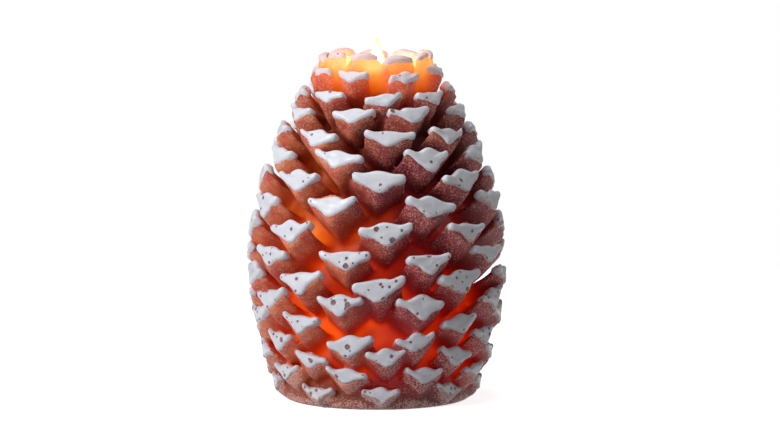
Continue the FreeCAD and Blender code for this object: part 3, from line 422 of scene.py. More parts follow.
def wax_glow(points):
    """Light through the wax at points, in millimetres, from the lights in the chamber and the flame."""
    radius = np.hypot(points[:, 0], points[:, 1])
    height = points[:, 2]
    lumps = np.array([noise.noise(Vector(point) * LUMP_SCALE) for point in points])
    fine = np.array([noise.noise(Vector(point) * FINE_SCALE) for point in points])
    wall = np.maximum(radius - bore_radius(height), 0.5) + LUMP_DEPTH * lumps + FINE_DEPTH * fine
    turn = np.degrees(np.arctan2(points[:, 0], -points[:, 1]))
    for where, level, across, up, thinner in WALL_CHANGES:
        apart_turn = (turn - where + 180) % 360 - 180
        near = ((apart_turn * math.pi / 180 * radius) / across) ** 2 + ((height - level) / up) ** 2
        wall -= thinner * np.exp(-near)
    wall = np.maximum(wall, 1.0)
    for level, growth in LOW_WALLS:
        wall += np.maximum(0, level - height) * growth
    inner = bore_radius(height) / np.maximum(radius, 1)
    total = np.zeros((len(points), 3))
    for side_x in (-1, 1):
        for side_y in (-1, 1):
            apart_x = points[:, 0] * inner - side_x * LIGHT_OFFSET
            apart_y = points[:, 1] * inner - side_y * LIGHT_OFFSET
            apart_z = (height - LIGHT_HEIGHT) * GLOW_RISE
            reach = GLOW_POWER / (apart_x ** 2 + apart_y ** 2 + apart_z ** 2 + GLOW_CORE)
            reach *= np.exp(-np.maximum(0, height - GLOW_TOP) / GLOW_FADE)
            total += reach[:, None] * INNER_LIGHT * np.exp(-np.outer(wall, ABSORPTION))
    apart = np.sqrt(radius ** 2 + (height - FLAME_HEIGHT) ** 2)
    through = np.maximum(0, FLAME_LEVEL - height) * LEVEL_GROWTH + FLAME_FINE_DEPTH * fine
    for reached, growth in FLAME_WALLS:
        through += np.maximum(0, radius - reached) * growth
    flame = FLAME_POWER / (apart ** 2 + FLAME_CORE)
    flame *= np.exp(-np.maximum(0, FLAME_BOTTOM - height) / FLAME_FADE)
    total += flame[:, None] * FLAME_LIGHT * np.exp(-np.outer(np.maximum(through, 0), FLAME_ABSORPTION))
    return total


def depth_in_cone(points):
    """How far points, in millimetres, lie in from the scale tips towards the wax body, from 0 to 1."""
    levels = np.arange(0, 150, 3.0)
    tips = [tip_radius(level) for level in levels]
    bodies = [body_radius(level) for level in levels]
    radius, height = np.hypot(points[:, 0], points[:, 1]), points[:, 2]
    outer, inner = np.interp(height, levels, tips), np.interp(height, levels, bodies)
    return np.clip((outer - radius) / np.maximum(outer - inner, 4), 0, 1)


def add_wax_attributes(mesh):
    """Store the light through the wax, and how far each point stands out as an edge or lies in a crease."""
    points, normals, edges = mesh_rows(mesh, "co"), mesh_rows(mesh, "normal"), mesh_edges(mesh)
    softened = points
    for _step in range(3):
        softened = neighbour_mean(softened, edges)
    stand = np.einsum("ij,ij->i", points - softened, normals) / MM
    for _step in range(2):
        stand = 0.4 * stand + 0.6 * neighbour_mean(stand, edges)
    store(mesh, "ridge", stand)
    store(mesh, "deep", depth_in_cone(points / MM))
    glow = np.ones((len(points), 4))
    glow[:, :3] = wax_glow(points / MM)
    mesh.attributes.new("glow", "FLOAT_COLOR", "POINT").data.foreach_set("color", glow.ravel())


def make_wax(places):
    """The whole casting as one skin: body and scales melted together by a voxel remesh."""
    maker = MeshMaker()
    add_body(maker)
    loose = random.Random(WAX_SEED)
    for place in places:
        add_scale(maker, place, loose)
    wax = maker.build("cast_wax")
    remesh = wax.modifiers.new("melt", "REMESH")
    remesh.mode = "VOXEL"
    remesh.voxel_size = WAX_VOXEL * MM
    soften = wax.modifiers.new("soften", "SMOOTH")
    soften.factor = 0.5
    soften.iterations = 4
    applied(wax)
    add_unevenness(wax.data)
    thin = wax.modifiers.new("thin", "DECIMATE")
    triangles = sum(len(face.vertices) - 2 for face in wax.data.polygons)
    thin.ratio = min(1.0, WAX_TRIANGLES / triangles)
    applied(wax)
    shade_smooth(wax.data)
    add_wax_attributes(wax.data)
    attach(wax, "candle")
    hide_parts("wax_body", "wax_scales")
    return wax


# ------------------------ the snow on the scales

SNOW_POINTS = 48
WARM_REACH, WARM_FADE = 21.5, 3.2       # how far from the flame its light tints the snow
# Rings of a cap from its middle outwards and over its edge: share of the outline, millimetres outside
# the outline, share of the snow's thickness that it lies on the tip, and share of the lap back.
SNOW_RINGS = [(0.2, 0, 0.96, 0), (0.4, 0, 0.98, 0), (0.58, 0, 1.0, 0), (0.74, 0, 1.02, 0),
              (0.87, 0, 1.0, 0), (0.96, 0, 0.90, 0), (1.0, 0.20, 0.66, 0), (1.0, 0.46, 0.34, 0),
              (1.0, 0.58, 0.0, 0.12), (1.0, 0.60, 0.0, 0.45), (1.0, 0.45, 0.0, 0.8), (1.0, -0.6, 0.0, 1.0)]


def cap_outline(loose, is_petal):
    """Outline of one cap as evenly spaced points: no two have the same horns, peak and point."""
    def near(value, reach):
        return value + loose.uniform(-reach, reach)
    if is_petal:
        corners = [(u, near(v, 0.08)) for u, v in PETAL_TIP]
    else:
        peak, point = near(0.0, 0.16), near(0.0, 0.14)
        high, low = loose.uniform(0.46, 0.92), near(-0.93, 0.14)
        left, right = near(0.66, 0.24), near(0.66, 0.24)
        corners = [(-1.0, left), (near(-0.58, 0.10), near(0.38, 0.12)), (peak - 0.12, high),
                   (peak + 0.12, high), (near(0.58, 0.10), near(0.38, 0.12)), (1.0, right),
                   (near(1.0, 0.04), right - 0.40), (near(0.50, 0.10), near(-0.28, 0.14)),
                   (point + 0.12, low), (point - 0.12, low),
                   (near(-0.50, 0.10), near(-0.28, 0.14)), (near(-1.0, 0.04), left - 0.40)]
    return evenly(rounded(corners, (0.2, 0.25, 0.25)), SNOW_POINTS)


def cap_size(height):
    """Width and height of a cap, as shares of its scale's tip: the snow is fullest at mid height."""
    levels = [0, 26, 38, 68, 86, 146]
    wide = np.interp(height, levels, [0.86, 0.84, 0.92, 0.94, 0.90, 0.86])
    tall = np.interp(height, levels, [0.86, 0.76, 0.86, 0.88, 0.78, 0.72])
    return float(wide), float(tall)


def outward_steps(outline, scale):
    """For each point of an outline, one millimetre outwards, in shares of the scale's size."""
    steps = []
    for index in range(len(outline)):
        before, after = outline[index - 1], outline[(index + 1) % len(outline)]
        along = ((after[0] - before[0]) * scale.half_width, (after[1] - before[1]) * scale.half_height)
        length = math.hypot(*along)
        steps.append((-along[1] / length / scale.half_width, along[0] / length / scale.half_height))
    return steps


def add_cap(maker, place, loose):
    """Snow on one scale: a thick puffed skin over the tip that laps back over its edges."""
    scale = ScaleFrame(place)
    is_petal = place["is_petal"]
    wide, tall = cap_size(place["height"])
    wide *= loose.uniform(0.90, 1.04)
    tall *= loose.uniform(0.84, 1.12)
    raised = 0.10 * (1 - tall) + loose.uniform(-0.05, 0.05)
    tilt = loose.uniform(-0.10, 0.10)
    if is_petal:
        wide, tall, raised = wide * 0.86, tall * 0.78, 0.20
    outline = [(u * wide, v * tall + raised + tilt * u) for u, v in cap_outline(loose, is_petal)]
    steps = outward_steps(outline, scale)
    seed = Vector((loose.uniform(0, 50), loose.uniform(0, 50), loose.uniform(0, 50)))
    aside = (loose.uniform(0, 900), loose.uniform(0, 900))
    lap_above = loose.uniform(2.2, 3.4)
    lap_beside = loose.uniform(3.2, 4.6)
    lap_below = loose.uniform(0.4, 0.9)
    dome = 1.5 if is_petal else 0.25
    rings = []
    for share, out, lift, back in SNOW_RINGS:
        ring = []
        for (u, v), step in zip(outline, steps):
            below = min(1.0, max(0.0, 0.35 - v))
            reach = 1 + (0.035 + 0.07 * below) * noise.noise(seed + Vector((u * 2.4, v * 2.4, 0)))
            reach += 0.07 * below * noise.noise(seed + Vector((u * 6, v * 6, 3)))
            reach = share * (1 + (reach - 1) * share)
            puff = 0.34 * noise.noise(seed + Vector((u * share * 2.2, v * share * 2.2, 7)))
            puff += dome * (1 - share ** 2)
            lap = below * lap_below + (1 - below) * (lap_above + (lap_beside - lap_above) * abs(u) ** 3)
            centre = scale.tip + scale.normal * (SNOW_THICKNESS * lift + puff * min(1, lift * 1.4))
            centre -= scale.axis * (back * lap)
            u_here, v_here = u * reach + step[0] * out, v * reach + step[1] * out
            spot = scale.point(centre, u_here, v_here)
            ring.append(maker.add(spot, rim=share + out * 0.12 + back * 0.1, below=below,
                                  aside=aside[0] + u_here * scale.half_width,
                                  upwards=aside[1] + v_here * scale.half_height))
        rings.append(ring)
    maker.stack(rings)
    middle = maker.add(scale.tip + scale.normal * (SNOW_THICKNESS * 0.96 + dome), rim=0, below=0,
                       aside=aside[0], upwards=aside[1])
    maker.fan(rings[0], middle, flip=True)
    inside = maker.add(scale.tip - scale.axis * 2.5, rim=1.4, below=0, aside=aside[0], upwards=aside[1])
    maker.fan(rings[-1], inside)


def add_snow_glow(mesh):
    """Store the flame's light that reaches the caps of the crown."""
    points = mesh_rows(mesh, "co") / MM
    apart = np.sqrt(points[:, 0] ** 2 + points[:, 1] ** 2 + (points[:, 2] - FLAME_HEIGHT) ** 2)
    store(mesh, "flame_glow", np.exp(-np.maximum(0, apart - WARM_REACH) / WARM_FADE))


def make_snow(places):
    """All the snow caps, as one piece of separate caps."""
    maker = MeshMaker("rim", "below", "aside", "upwards")
    loose = random.Random(SNOW_SEED)
    for place in places:
        add_cap(maker, place, loose)
    snow = maker.build("snow_caps")
    add_snow_glow(snow.data)
    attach(snow, "candle")
    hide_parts("snow_coat")
    return snow


# ------------------------ the flame

FLAME_NECK, STEM_HALF_WIDTH, LEAF_HALF_WIDTH, LEAF_HALF_THICKNESS = 125.5, 1.95, 3.75, 0.58
LEAF_SIDES = 20


def flame_half_width(height, low, high):
    """Half width of the flame's leaf in millimetres, from its neck to its point."""
    share = (height - low) / (high - low)
    return LEAF_HALF_WIDTH * math.sin(math.pi * share ** 0.8) ** 0.9 * (1 - 0.12 * share) + 0.25


def make_flame():
    """The flame paddle: a thin leaf with a thicker middle, on a flat stem with a wider foot."""
    low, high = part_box("flame_paddle")
    neck, top, foot = FLAME_NECK, high[2] / MM, low[2] / MM
    maker = MeshMaker("hot")
    levels = [foot + 0.02, foot + 0.6, foot + 6.2, foot + 7.4] + list(np.linspace(neck - 10, neck, 5))
    levels += list(np.linspace(neck, top, 26))[1:]
    rings = []
    for level in levels:
        if level < foot + 7:
            half = 3.3 if level > foot + 0.3 else 2.9
        elif level <= neck:
            half = STEM_HALF_WIDTH
        else:
            stem = STEM_HALF_WIDTH * (1 - (level - neck) / 6)
            half = max(stem, flame_half_width(level, neck - 2.5, top + 0.4))
        ring = []
        for step in range(LEAF_SIDES):
            angle = 2 * math.pi * step / LEAF_SIDES
            edge = abs(math.cos(angle)) ** 3
            thick = LEAF_HALF_THICKNESS * (1 - 0.35 * edge) * min(1, half)
            spot = (half * math.cos(angle), thick * math.sin(angle), level)
            ring.append(maker.add(spot, hot=1 - edge))
        rings.append(ring)
    maker.stack(rings)
    maker.fan(rings[0], maker.add((0, 0, foot), hot=0), flip=True)
    maker.fan(rings[-1], maker.add((0, 0, top), hot=0))
    flame = maker.build("flame_leaf")
    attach(flame, "flame")
    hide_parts("flame_paddle")
    return flame


# ------------------------ materials

class Paint:
    """A procedural material: a Principled shader and short ways to add the nodes that feed it."""

    def __init__(self, name, **constants):
        self.material = bpy.data.materials.new(name)
        self.material.use_nodes = True
        self.tree = self.material.node_tree
        self.shader = self.tree.nodes["Principled BSDF"]
        self.place = self.node("ShaderNodeTexCoord").outputs["Object"]
        for label, value in constants.items():
            self.shader.inputs[label.replace("_", " ")].default_value = value

    def node(self, kind, **properties):
        made = self.tree.nodes.new(kind)
        for label, value in properties.items():
            setattr(made, label, value)
        return made

    def link(self, value, socket):
        """Feed a socket from another socket, or set it to a constant."""
        if isinstance(value, bpy.types.NodeSocket):
            self.tree.links.new(value, socket)
        else:
            socket.default_value = value

    def noise(self, scale, detail=4.0, rough=0.55, stretch=None):
        """Noise from 0 to 1, with scale in features for each metre."""
        made = self.node("ShaderNodeTexNoise")
        made.inputs["Scale"].default_value = scale
        made.inputs["Detail"].default_value = detail
        made.inputs["Roughness"].default_value = rough
        place = self.place
        if stretch:
            mapping = self.node("ShaderNodeMapping")
            mapping.inputs["Scale"].default_value = stretch
            self.link(place, mapping.inputs["Vector"])
            place = mapping.outputs["Vector"]
        self.link(place, made.inputs["Vector"])
        return made.outputs["Fac"]

    def cells(self, scale, place=None):
        """Voronoi cells: distance to the cell's middle, and a random colour for each cell."""
        made = self.node("ShaderNodeTexVoronoi", voronoi_dimensions="2D" if place else "3D")
        made.inputs["Scale"].default_value = scale
        self.link(place or self.place, made.inputs["Vector"])
        return made.outputs["Distance"], made.outputs["Color"]

    def wave(self, axis, scale, distortion=0.0):
        """Bands from 0 to 1 along an axis."""
        made = self.node("ShaderNodeTexWave", bands_direction=axis)
        made.inputs["Scale"].default_value = scale
        made.inputs["Distortion"].default_value = distortion
        self.link(self.place, made.inputs["Vector"])
        return made.outputs["Fac"]

    def stored(self, name, output="Fac"):
        """What the mesh stores under a name."""
        return self.node("ShaderNodeAttribute", attribute_name=name).outputs[output]

    def along(self, axis):
        """Place along an axis of the object, in metres."""
        parts = self.node("ShaderNodeSeparateXYZ")
        self.link(self.place, parts.inputs["Vector"])
        return parts.outputs[axis]

    def remap(self, value, low, high, first=0.0, last=1.0, smoothly=False):
        """Value carried from one range to another, and held inside it."""
        made = self.node("ShaderNodeMapRange")
        made.interpolation_type = "SMOOTHSTEP" if smoothly else "LINEAR"
        self.link(value, made.inputs["Value"])
        for label, number in (("From Min", low), ("From Max", high), ("To Min", first), ("To Max", last)):
            self.link(number, made.inputs[label])
        return made.outputs["Result"]

    def math(self, operation, first, second=0.0):
        made = self.node("ShaderNodeMath", operation=operation)
        self.link(first, made.inputs[0])
        self.link(second, made.inputs[1])
        return made.outputs["Value"]

    def mix(self, share, first, second, blend="MIX"):
        """Colour between two colours."""
        made = self.node("ShaderNodeMix", data_type="RGBA", blend_type=blend)
        self.link(share, made.inputs["Factor"])
        for value, socket in ((first, made.inputs["A"]), (second, made.inputs["B"])):
            self.link(value if isinstance(value, bpy.types.NodeSocket) else (*value, 1.0), socket)
        return made.outputs["Result"]

    def colour(self, value):
        self.link(value, self.shader.inputs["Base Color"])

    def roughness(self, value):
        self.link(value, self.shader.inputs["Roughness"])

    def glow(self, value, strength):
        self.link(value, self.shader.inputs["Emission Color"])
        self.shader.inputs["Emission Strength"].default_value = strength

    def bumps(self, *layers):
        """Bump layers, each a height, a strength and a depth in metres."""
        normal = None
        for height, strength, depth in layers:
            made = self.node("ShaderNodeBump")
            made.inputs["Strength"].default_value = strength
            made.inputs["Distance"].default_value = depth
            self.link(height, made.inputs["Height"])
            if normal:
                self.link(normal, made.inputs["Normal"])
            normal = made.outputs["Normal"]
        self.link(normal, self.shader.inputs["Normal"])


def wax_paint():
    """Cast wax: amber patches with painted shade that turns it deep maroon towards the right side, sugary
    with frost on its edges, and lit from inside.
    """
    paint = Paint("cast_wax", Specular_IOR_Level=0.35, Subsurface_Weight=0.3, Subsurface_Scale=0.004,
                  Subsurface_Radius=(1.0, 0.3, 0.1))
    broad = paint.noise(38, 3)
    patch = paint.noise(150, 4)
    grain = paint.noise(1500, 3, 0.7)
    sugar = paint.noise(1250, 3, 0.95)
    height = paint.along("Z")
    drift = paint.math("MULTIPLY", paint.math("SUBTRACT", broad, 0.5), 0.06)
    # Painted shade: towards the right side the wax turns from amber to deep maroon; the shade fades out
    # near the crown.
    right_side_shade = paint.remap(paint.math("ADD", paint.along("X"), drift), -0.030, 0.006, smoothly=True)
    near_crown = paint.remap(paint.math("ADD", height, drift), 0.100, 0.135, 1.0, 0.15)
    right_side_shade = paint.math("MULTIPLY", right_side_shade, near_crown)
    amber = paint.mix(paint.remap(patch, 0.38, 0.66), (0.62, 0.085, 0.050), (0.90, 0.27, 0.075))
    maroon = paint.mix(paint.remap(patch, 0.38, 0.66), (0.22, 0.021, 0.031), (0.44, 0.060, 0.054))
    # Painted shade: deep in between the scales, towards the wax body, the wax turns darker and has fewer
    # frost specks.
    deep = paint.remap(paint.stored("deep"), 0.15, 0.75, smoothly=True)
    amber = paint.mix(deep, amber, (0.32, 0.058, 0.011))
    maroon = paint.mix(deep, maroon, (0.080, 0.006, 0.011))
    # The wax's own patchy tone, with the painted shade of the right side.
    wax_tone_and_shade = paint.mix(right_side_shade, amber, maroon)
    # Painted shade: the wax is darker towards the foot and towards the crown.
    for level, darkest, tint in ((0.036, 0.006, (0.66, 0.62, 0.62)), (0.100, 0.125, (0.74, 0.70, 0.70))):
        wax_tone_and_shade = paint.mix(paint.remap(height, level, darkest), wax_tone_and_shade, tint, "MULTIPLY")
    on_edges = paint.remap(paint.stored("ridge"), 0.012, 0.11)
    low_down = paint.remap(height, 0.000, 0.028, 0.28, 0.0)
    frosting = paint.math("ADD", paint.math("MULTIPLY", on_edges, 0.22), low_down)
    threshold = paint.math("SUBTRACT", 0.638, paint.math("MULTIPLY", frosting, 0.36))
    threshold = paint.math("SUBTRACT", threshold, paint.remap(patch, 0.4, 0.7, 0.0, 0.05))
    threshold = paint.math("ADD", threshold, paint.math("MULTIPLY", deep, 0.07))
    specks = paint.remap(sugar, threshold, paint.math("ADD", threshold, 0.05))
    frosted = paint.mix(paint.math("MULTIPLY", specks, 0.8), wax_tone_and_shade, (0.84, 0.54, 0.49))
    paint.colour(frosted)
    paint.roughness(paint.remap(grain, 0.3, 0.7, 0.42, 0.62))
    paint.bumps((grain, 0.35, 0.0006), (sugar, 0.35, 0.0004))
    # Painted light: the light from the lamps inside and the flame shows as the wax's own glow, made pinker
    # where the right side's painted shade lies.
    glow = paint.mix(right_side_shade, paint.stored("glow", "Color"), (1.0, 0.76, 0.90), "MULTIPLY")
    veiled = paint.mix(paint.math("MULTIPLY", specks, 0.5), glow, (0.0, 0.0, 0.0))
    paint.glow(veiled, 1.5)
    return paint.material


def snow_pits(paint, frequent):
    """Round bubble pits in the snow, from 0 to 1, with how rare they are given for each place."""
    bend = paint.math("MULTIPLY", paint.noise(900, 2), 0.9)
    on_cap = paint.node("ShaderNodeCombineXYZ")
    paint.link(paint.math("ADD", paint.stored("aside"), bend), on_cap.inputs["X"])
    paint.link(paint.stored("upwards"), on_cap.inputs["Y"])
    pits = []
    for scale, widest in ((0.36, 0.27), (0.17, 0.23)):
        distance, tint = paint.cells(scale, on_cap.outputs["Vector"])
        chance = paint.node("ShaderNodeSeparateColor")
        paint.link(tint, chance.inputs["Color"])
        width = paint.remap(chance.outputs["Red"], frequent, 1.0, 0.0, widest)
        depth = paint.math("DIVIDE", distance, paint.math("ADD", width, 0.001))
        pits.append(paint.remap(depth, 0.75, 1.15, 1.0, 0.0, smoothly=True))
    on_face = paint.remap(paint.stored("rim"), 0.97, 1.02, 1.0, 0.0)
    return paint.math("MULTIPLY", paint.math("MAXIMUM", pits[0], pits[1]), on_face)


def snow_paint():
    """Thick white wax: smooth and bluish, with bubble pits down to the red wax and a ragged edge; painted
    shade darkens it towards the foot, and painted flame light tints the caps near the crown.
    """
    paint = Paint("snow_caps", Specular_IOR_Level=0.45, Subsurface_Weight=0.15, Subsurface_Scale=0.0012,
                  Subsurface_Radius=(1.0, 0.8, 0.8))
    height = paint.along("Z")
    shade = paint.noise(220, 3)
    grain = paint.noise(1700, 3, 0.7)
    white = paint.mix(paint.remap(shade, 0.3, 0.7), (0.78, 0.79, 0.86), (0.87, 0.87, 0.92))
    # Painted shade: the caps are darker towards the foot.
    white = paint.mix(paint.remap(height, 0.095, 0.035), white, (0.88, 0.86, 0.87), "MULTIPLY")
    # Painted light: near the flame the caps turn pink, as if lit by it.
    flame_glow = paint.stored("flame_glow")
    white = paint.mix(flame_glow, white, (0.88, 0.56, 0.56))
    pit = snow_pits(paint, paint.remap(height, 0.040, 0.105, 0.52, 0.92))
    frayed = paint.math("MULTIPLY", paint.math("SUBTRACT", paint.noise(650, 5, 0.7), 0.5), 0.9)
    # More bare wax shows at the foot and towards the right side.
    bare_low_and_right = paint.remap(height, 0.004, 0.018, 0.55, 0.0)
    bare_low_and_right = paint.math("ADD", bare_low_and_right, paint.remap(paint.along("X"), 0.018, 0.050, 0.0, 0.28))
    kept_above = paint.remap(paint.stored("below"), 0.0, 0.5, 0.72, 1.0)
    edge = paint.math("MULTIPLY", paint.stored("rim"), kept_above)
    bare = paint.remap(paint.math("ADD", paint.math("ADD", edge, frayed), bare_low_and_right), 1.02, 1.26)
    wax = paint.mix(paint.remap(grain, 0.40, 0.58), (0.36, 0.13, 0.10), (0.68, 0.50, 0.47))
    pit_colour = paint.mix(paint.remap(shade, 0.4, 0.6), (0.16, 0.030, 0.022), (0.32, 0.09, 0.06))
    coated = paint.mix(paint.math("MULTIPLY", pit, 0.9), white, pit_colour)
    paint.colour(paint.mix(bare, coated, wax))
    paint.roughness(paint.remap(grain, 0.3, 0.7, 0.26, 0.42))
    unpitted = paint.math("SUBTRACT", 1.0, pit)
    paint.bumps((unpitted, 0.9, 0.0007), (shade, 0.25, 0.0008), (grain, 0.08, 0.0003))
    # Painted light: the caps near the flame glow orange, as if lit by it.
    paint.glow(paint.mix(flame_glow, (0.0, 0.0, 0.0), (1.0, 0.45, 0.22)), 0.35)
    return paint.material


def flame_paint():
    """The lit leaf, with its light painted on: white in the middle and yellow towards its edges and point.
    """
    paint = Paint("flame_leaf", Roughness=0.4)
    height = paint.along("Z")
    flicker = paint.noise(160, 2)
    tall = paint.remap(height, 0.137, 0.149, 1.0, 0.0)
    # Painted light: the leaf's colour and glow are brightest in its middle and fade towards its point;
    # below its lit part it stays dark.
    hot = paint.math("MULTIPLY", paint.stored("hot"), tall)
    leaf_light = paint.math("MULTIPLY", hot, paint.remap(flicker, 0.2, 0.8, 0.85, 1.1))
    paint.colour(paint.mix(leaf_light, (0.95, 0.62, 0.22), (1.0, 0.9, 0.66)))
    lit = paint.remap(height, 0.123, 0.134, smoothly=True)
    warm = paint.mix(leaf_light, (1.0, 0.62, 0.12), (1.0, 0.93, 0.62))
    paint.glow(paint.mix(lit, (0.10, 0.03, 0.005), warm), 2.6)
    paint.bumps((flicker, 0.1, 0.0003))
    return paint.material


def moulded_paint(name, dark, light, rough=0.45, spark=0.25):
    """Moulded plastic: slight colour drift, spark-eroded grain and faint handling marks."""
    paint = Paint(name, Specular_IOR_Level=0.5)
    drift = paint.noise(60, 3)
    grain = paint.noise(2400, 2, 0.6)
    marks = paint.noise(300, 5, 0.7, (1.0, 0.25, 1.0))
    tone = paint.mix(paint.remap(drift, 0.35, 0.65), dark, light)
    paint.colour(paint.mix(paint.remap(marks, 0.62, 0.8, 0.0, 0.25), tone, light))
    paint.roughness(paint.remap(marks, 0.3, 0.7, rough - 0.08, rough + 0.1))
    paint.bumps((grain, spark, 0.0003))
    return paint.material


def metal_paint(name, dark, light, rough=0.3, stretch=(1.0, 1.0, 8.0), metallic=1.0):
    """Drawn or stamped metal: fine lines along the draw and a little tarnish."""
    paint = Paint(name, Metallic=metallic)
    lines = paint.noise(900, 4, 0.6, stretch)
    tarnish = paint.noise(240, 5, 0.65)
    paint.colour(paint.mix(paint.remap(tarnish, 0.42, 0.7), light, dark))
    paint.roughness(paint.remap(lines, 0.3, 0.7, rough - 0.1, rough + 0.14))
    paint.bumps((lines, 0.15, 0.0002))
    return paint.material


def board_paint():
    """Circuit board: green solder mask with lighter tracks under it and a faint glass weave."""
    paint = Paint("circuit_board", Specular_IOR_Level=0.55)
    distance, _tint = paint.cells(260)
    tracks = paint.remap(distance, 0.10, 0.14)
    weave = paint.noise(3000, 1, 0.5, (1.0, 0.3, 1.0))
    green = paint.mix(tracks, (0.05, 0.30, 0.10), (0.012, 0.12, 0.045))
    paint.colour(paint.mix(paint.remap(weave, 0.45, 0.7, 0.0, 0.3), green, (0.03, 0.2, 0.08)))
    paint.roughness(paint.remap(weave, 0.3, 0.7, 0.24, 0.40))
    paint.bumps((tracks, 0.3, 0.0001), (weave, 0.1, 0.0001))
    return paint.material


def lens_paint(name, tint, shine, strength):
    """A lit light's lens: brightest in its middle, with moulding lines."""
    paint = Paint(name, Roughness=0.12, Specular_IOR_Level=0.6)
    swirl = paint.noise(700, 2)
    paint.colour(paint.mix(paint.remap(swirl, 0.4, 0.6), tint, shine))
    paint.glow(paint.mix(paint.remap(swirl, 0.35, 0.65), tint, shine), strength)
    paint.bumps((swirl, 0.05, 0.0002))
    return paint.material


def cell_paint():
    """Battery cell: a plain dark sleeve with a light band, and bare metal at both ends."""
    paint = Paint("cell_sleeve", Specular_IOR_Level=0.6)
    along = paint.math("ABSOLUTE", paint.along("X"))
    scuffs = paint.noise(500, 5, 0.7)
    sleeve = paint.mix(paint.remap(along, 0.0160, 0.0161), (0.035, 0.04, 0.05), (0.55, 0.36, 0.12))
    sleeve = paint.mix(paint.remap(scuffs, 0.6, 0.8, 0.0, 0.3), sleeve, (0.3, 0.3, 0.3))
    bare = paint.remap(along, 0.02440, 0.02445)
    paint.colour(paint.mix(bare, sleeve, (0.62, 0.62, 0.60)))
    paint.link(bare, paint.shader.inputs["Metallic"])
    paint.roughness(paint.remap(scuffs, 0.3, 0.7, 0.22, 0.38))
    paint.bumps((scuffs, 0.08, 0.0001))
    return paint.material


def winding_paint():
    """Enamelled copper wire wound round the bobbin in fine turns."""
    paint = Paint("copper_turns", Metallic=0.9)
    turns = paint.wave("Z", 900, 0.4)
    drift = paint.noise(200, 3)
    # Painted shade: the dark copper of the bands is the shade between the turns.
    copper = paint.mix(turns, (0.20, 0.05, 0.02), (0.70, 0.26, 0.10))
    paint.colour(paint.mix(paint.remap(drift, 0.4, 0.7, 0.0, 0.4), copper, (0.45, 0.12, 0.05)))
    paint.roughness(paint.remap(drift, 0.3, 0.7, 0.22, 0.38))
    paint.bumps((turns, 0.5, 0.0002))
    return paint.material


def insulation_paint(name, dark, light):
    """Soft wire insulation with a slight bloom."""
    paint = Paint(name, Specular_IOR_Level=0.4)
    bloom = paint.noise(500, 4)
    paint.colour(paint.mix(paint.remap(bloom, 0.4, 0.7), dark, light))
    paint.roughness(paint.remap(bloom, 0.3, 0.7, 0.42, 0.6))
    paint.bumps((bloom, 0.12, 0.0002))
    return paint.material


def resistor_paint():
    """Dipped resistor body with plain colour bands."""
    paint = Paint("resistor_body", Specular_IOR_Level=0.5)
    bands = paint.remap(paint.wave("X", 260), 0.86, 0.9)
    grain = paint.noise(1500, 3)
    paint.colour(paint.mix(bands, (0.55, 0.42, 0.26), (0.30, 0.06, 0.03)))
    paint.roughness(paint.remap(grain, 0.3, 0.7, 0.35, 0.5))
    paint.bumps((grain, 0.1, 0.0002))
    return paint.material


def paint_everything(wax, snow, flame):
    """Give every new piece and every CAD node that stays its material."""
    wax.data.materials.append(wax_paint())
    snow.data.materials.append(snow_paint())
    flame.data.materials.append(flame_paint())
    ivory = moulded_paint("ivory_plastic", (0.62, 0.54, 0.38), (0.78, 0.70, 0.52))
    base = moulded_paint("base_plastic", (0.060, 0.028, 0.016), (0.10, 0.05, 0.028), 0.5, 0.4)
    screw = metal_paint("screw_metal", (0.28, 0.28, 0.27), (0.55, 0.55, 0.53), 0.32)
    contact = metal_paint("contact_metal", (0.40, 0.39, 0.36), (0.72, 0.71, 0.67), 0.26, (1.0, 8.0, 1.0))
    glow_lens = lens_paint("glow_lens", (1.0, 0.30, 0.05), (1.0, 0.52, 0.16), 2.0)
    looks = {
        "flame_magnet": metal_paint("nickel_plate", (0.45, 0.44, 0.42), (0.75, 0.74, 0.71), 0.2),
        "pivot_wire": metal_paint("drawn_wire", (0.35, 0.35, 0.35), (0.65, 0.65, 0.64), 0.28,
                                  (1.0, 8.0, 1.0)),
        "flame_light": lens_paint("flame_lens", (1.0, 0.72, 0.36), (1.0, 0.9, 0.66), 3.0),
        "coil_bobbin": moulded_paint("bobbin_plastic", (0.02, 0.02, 0.02), (0.06, 0.06, 0.06)),
        "coil_winding": winding_paint(),
        "coil_core": metal_paint("soft_iron", (0.12, 0.11, 0.11), (0.32, 0.31, 0.31), 0.4),
        "driver_chip": moulded_paint("chip_black", (0.012, 0.012, 0.012), (0.03, 0.03, 0.03), 0.5),
        "capacitor": metal_paint("capacitor_can", (0.10, 0.12, 0.20), (0.20, 0.24, 0.36), 0.35,
                                 metallic=0.6),
        "lead_red": insulation_paint("red_insulation", (0.42, 0.015, 0.01), (0.62, 0.05, 0.04)),
        "lead_black": insulation_paint("black_insulation", (0.012, 0.012, 0.012), (0.04, 0.04, 0.04)),
        "switch_frame": metal_paint("switch_can", (0.36, 0.36, 0.35), (0.62, 0.62, 0.60), 0.3),
        "switch_slider": moulded_paint("switch_black", (0.015, 0.015, 0.015), (0.05, 0.05, 0.05)),
    }
    shared = [
        (ivory, ["flame_deck", "light_holder", "tower_left", "tower_right"]),
        (base, ["base_housing", "battery_cover"]),
        (cell_paint(), ["battery_front", "battery_back"]),
        (board_paint(), ["driver_board", "light_board"]),
        (resistor_paint(), ["resistor_lower", "resistor_upper"]),
        (screw, [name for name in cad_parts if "screw" in name]),
        (glow_lens, [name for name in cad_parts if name.startswith("glow_light")]),
        (contact, [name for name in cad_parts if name.endswith(("_contact", "_spring"))]),
    ]
    for look, names in shared:
        looks.update({name: look for name in names})
    for name, look in looks.items():
        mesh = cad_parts[name].data
        mesh.materials.clear()
        mesh.materials.append(look)


# ------------------------ stage, light and camera

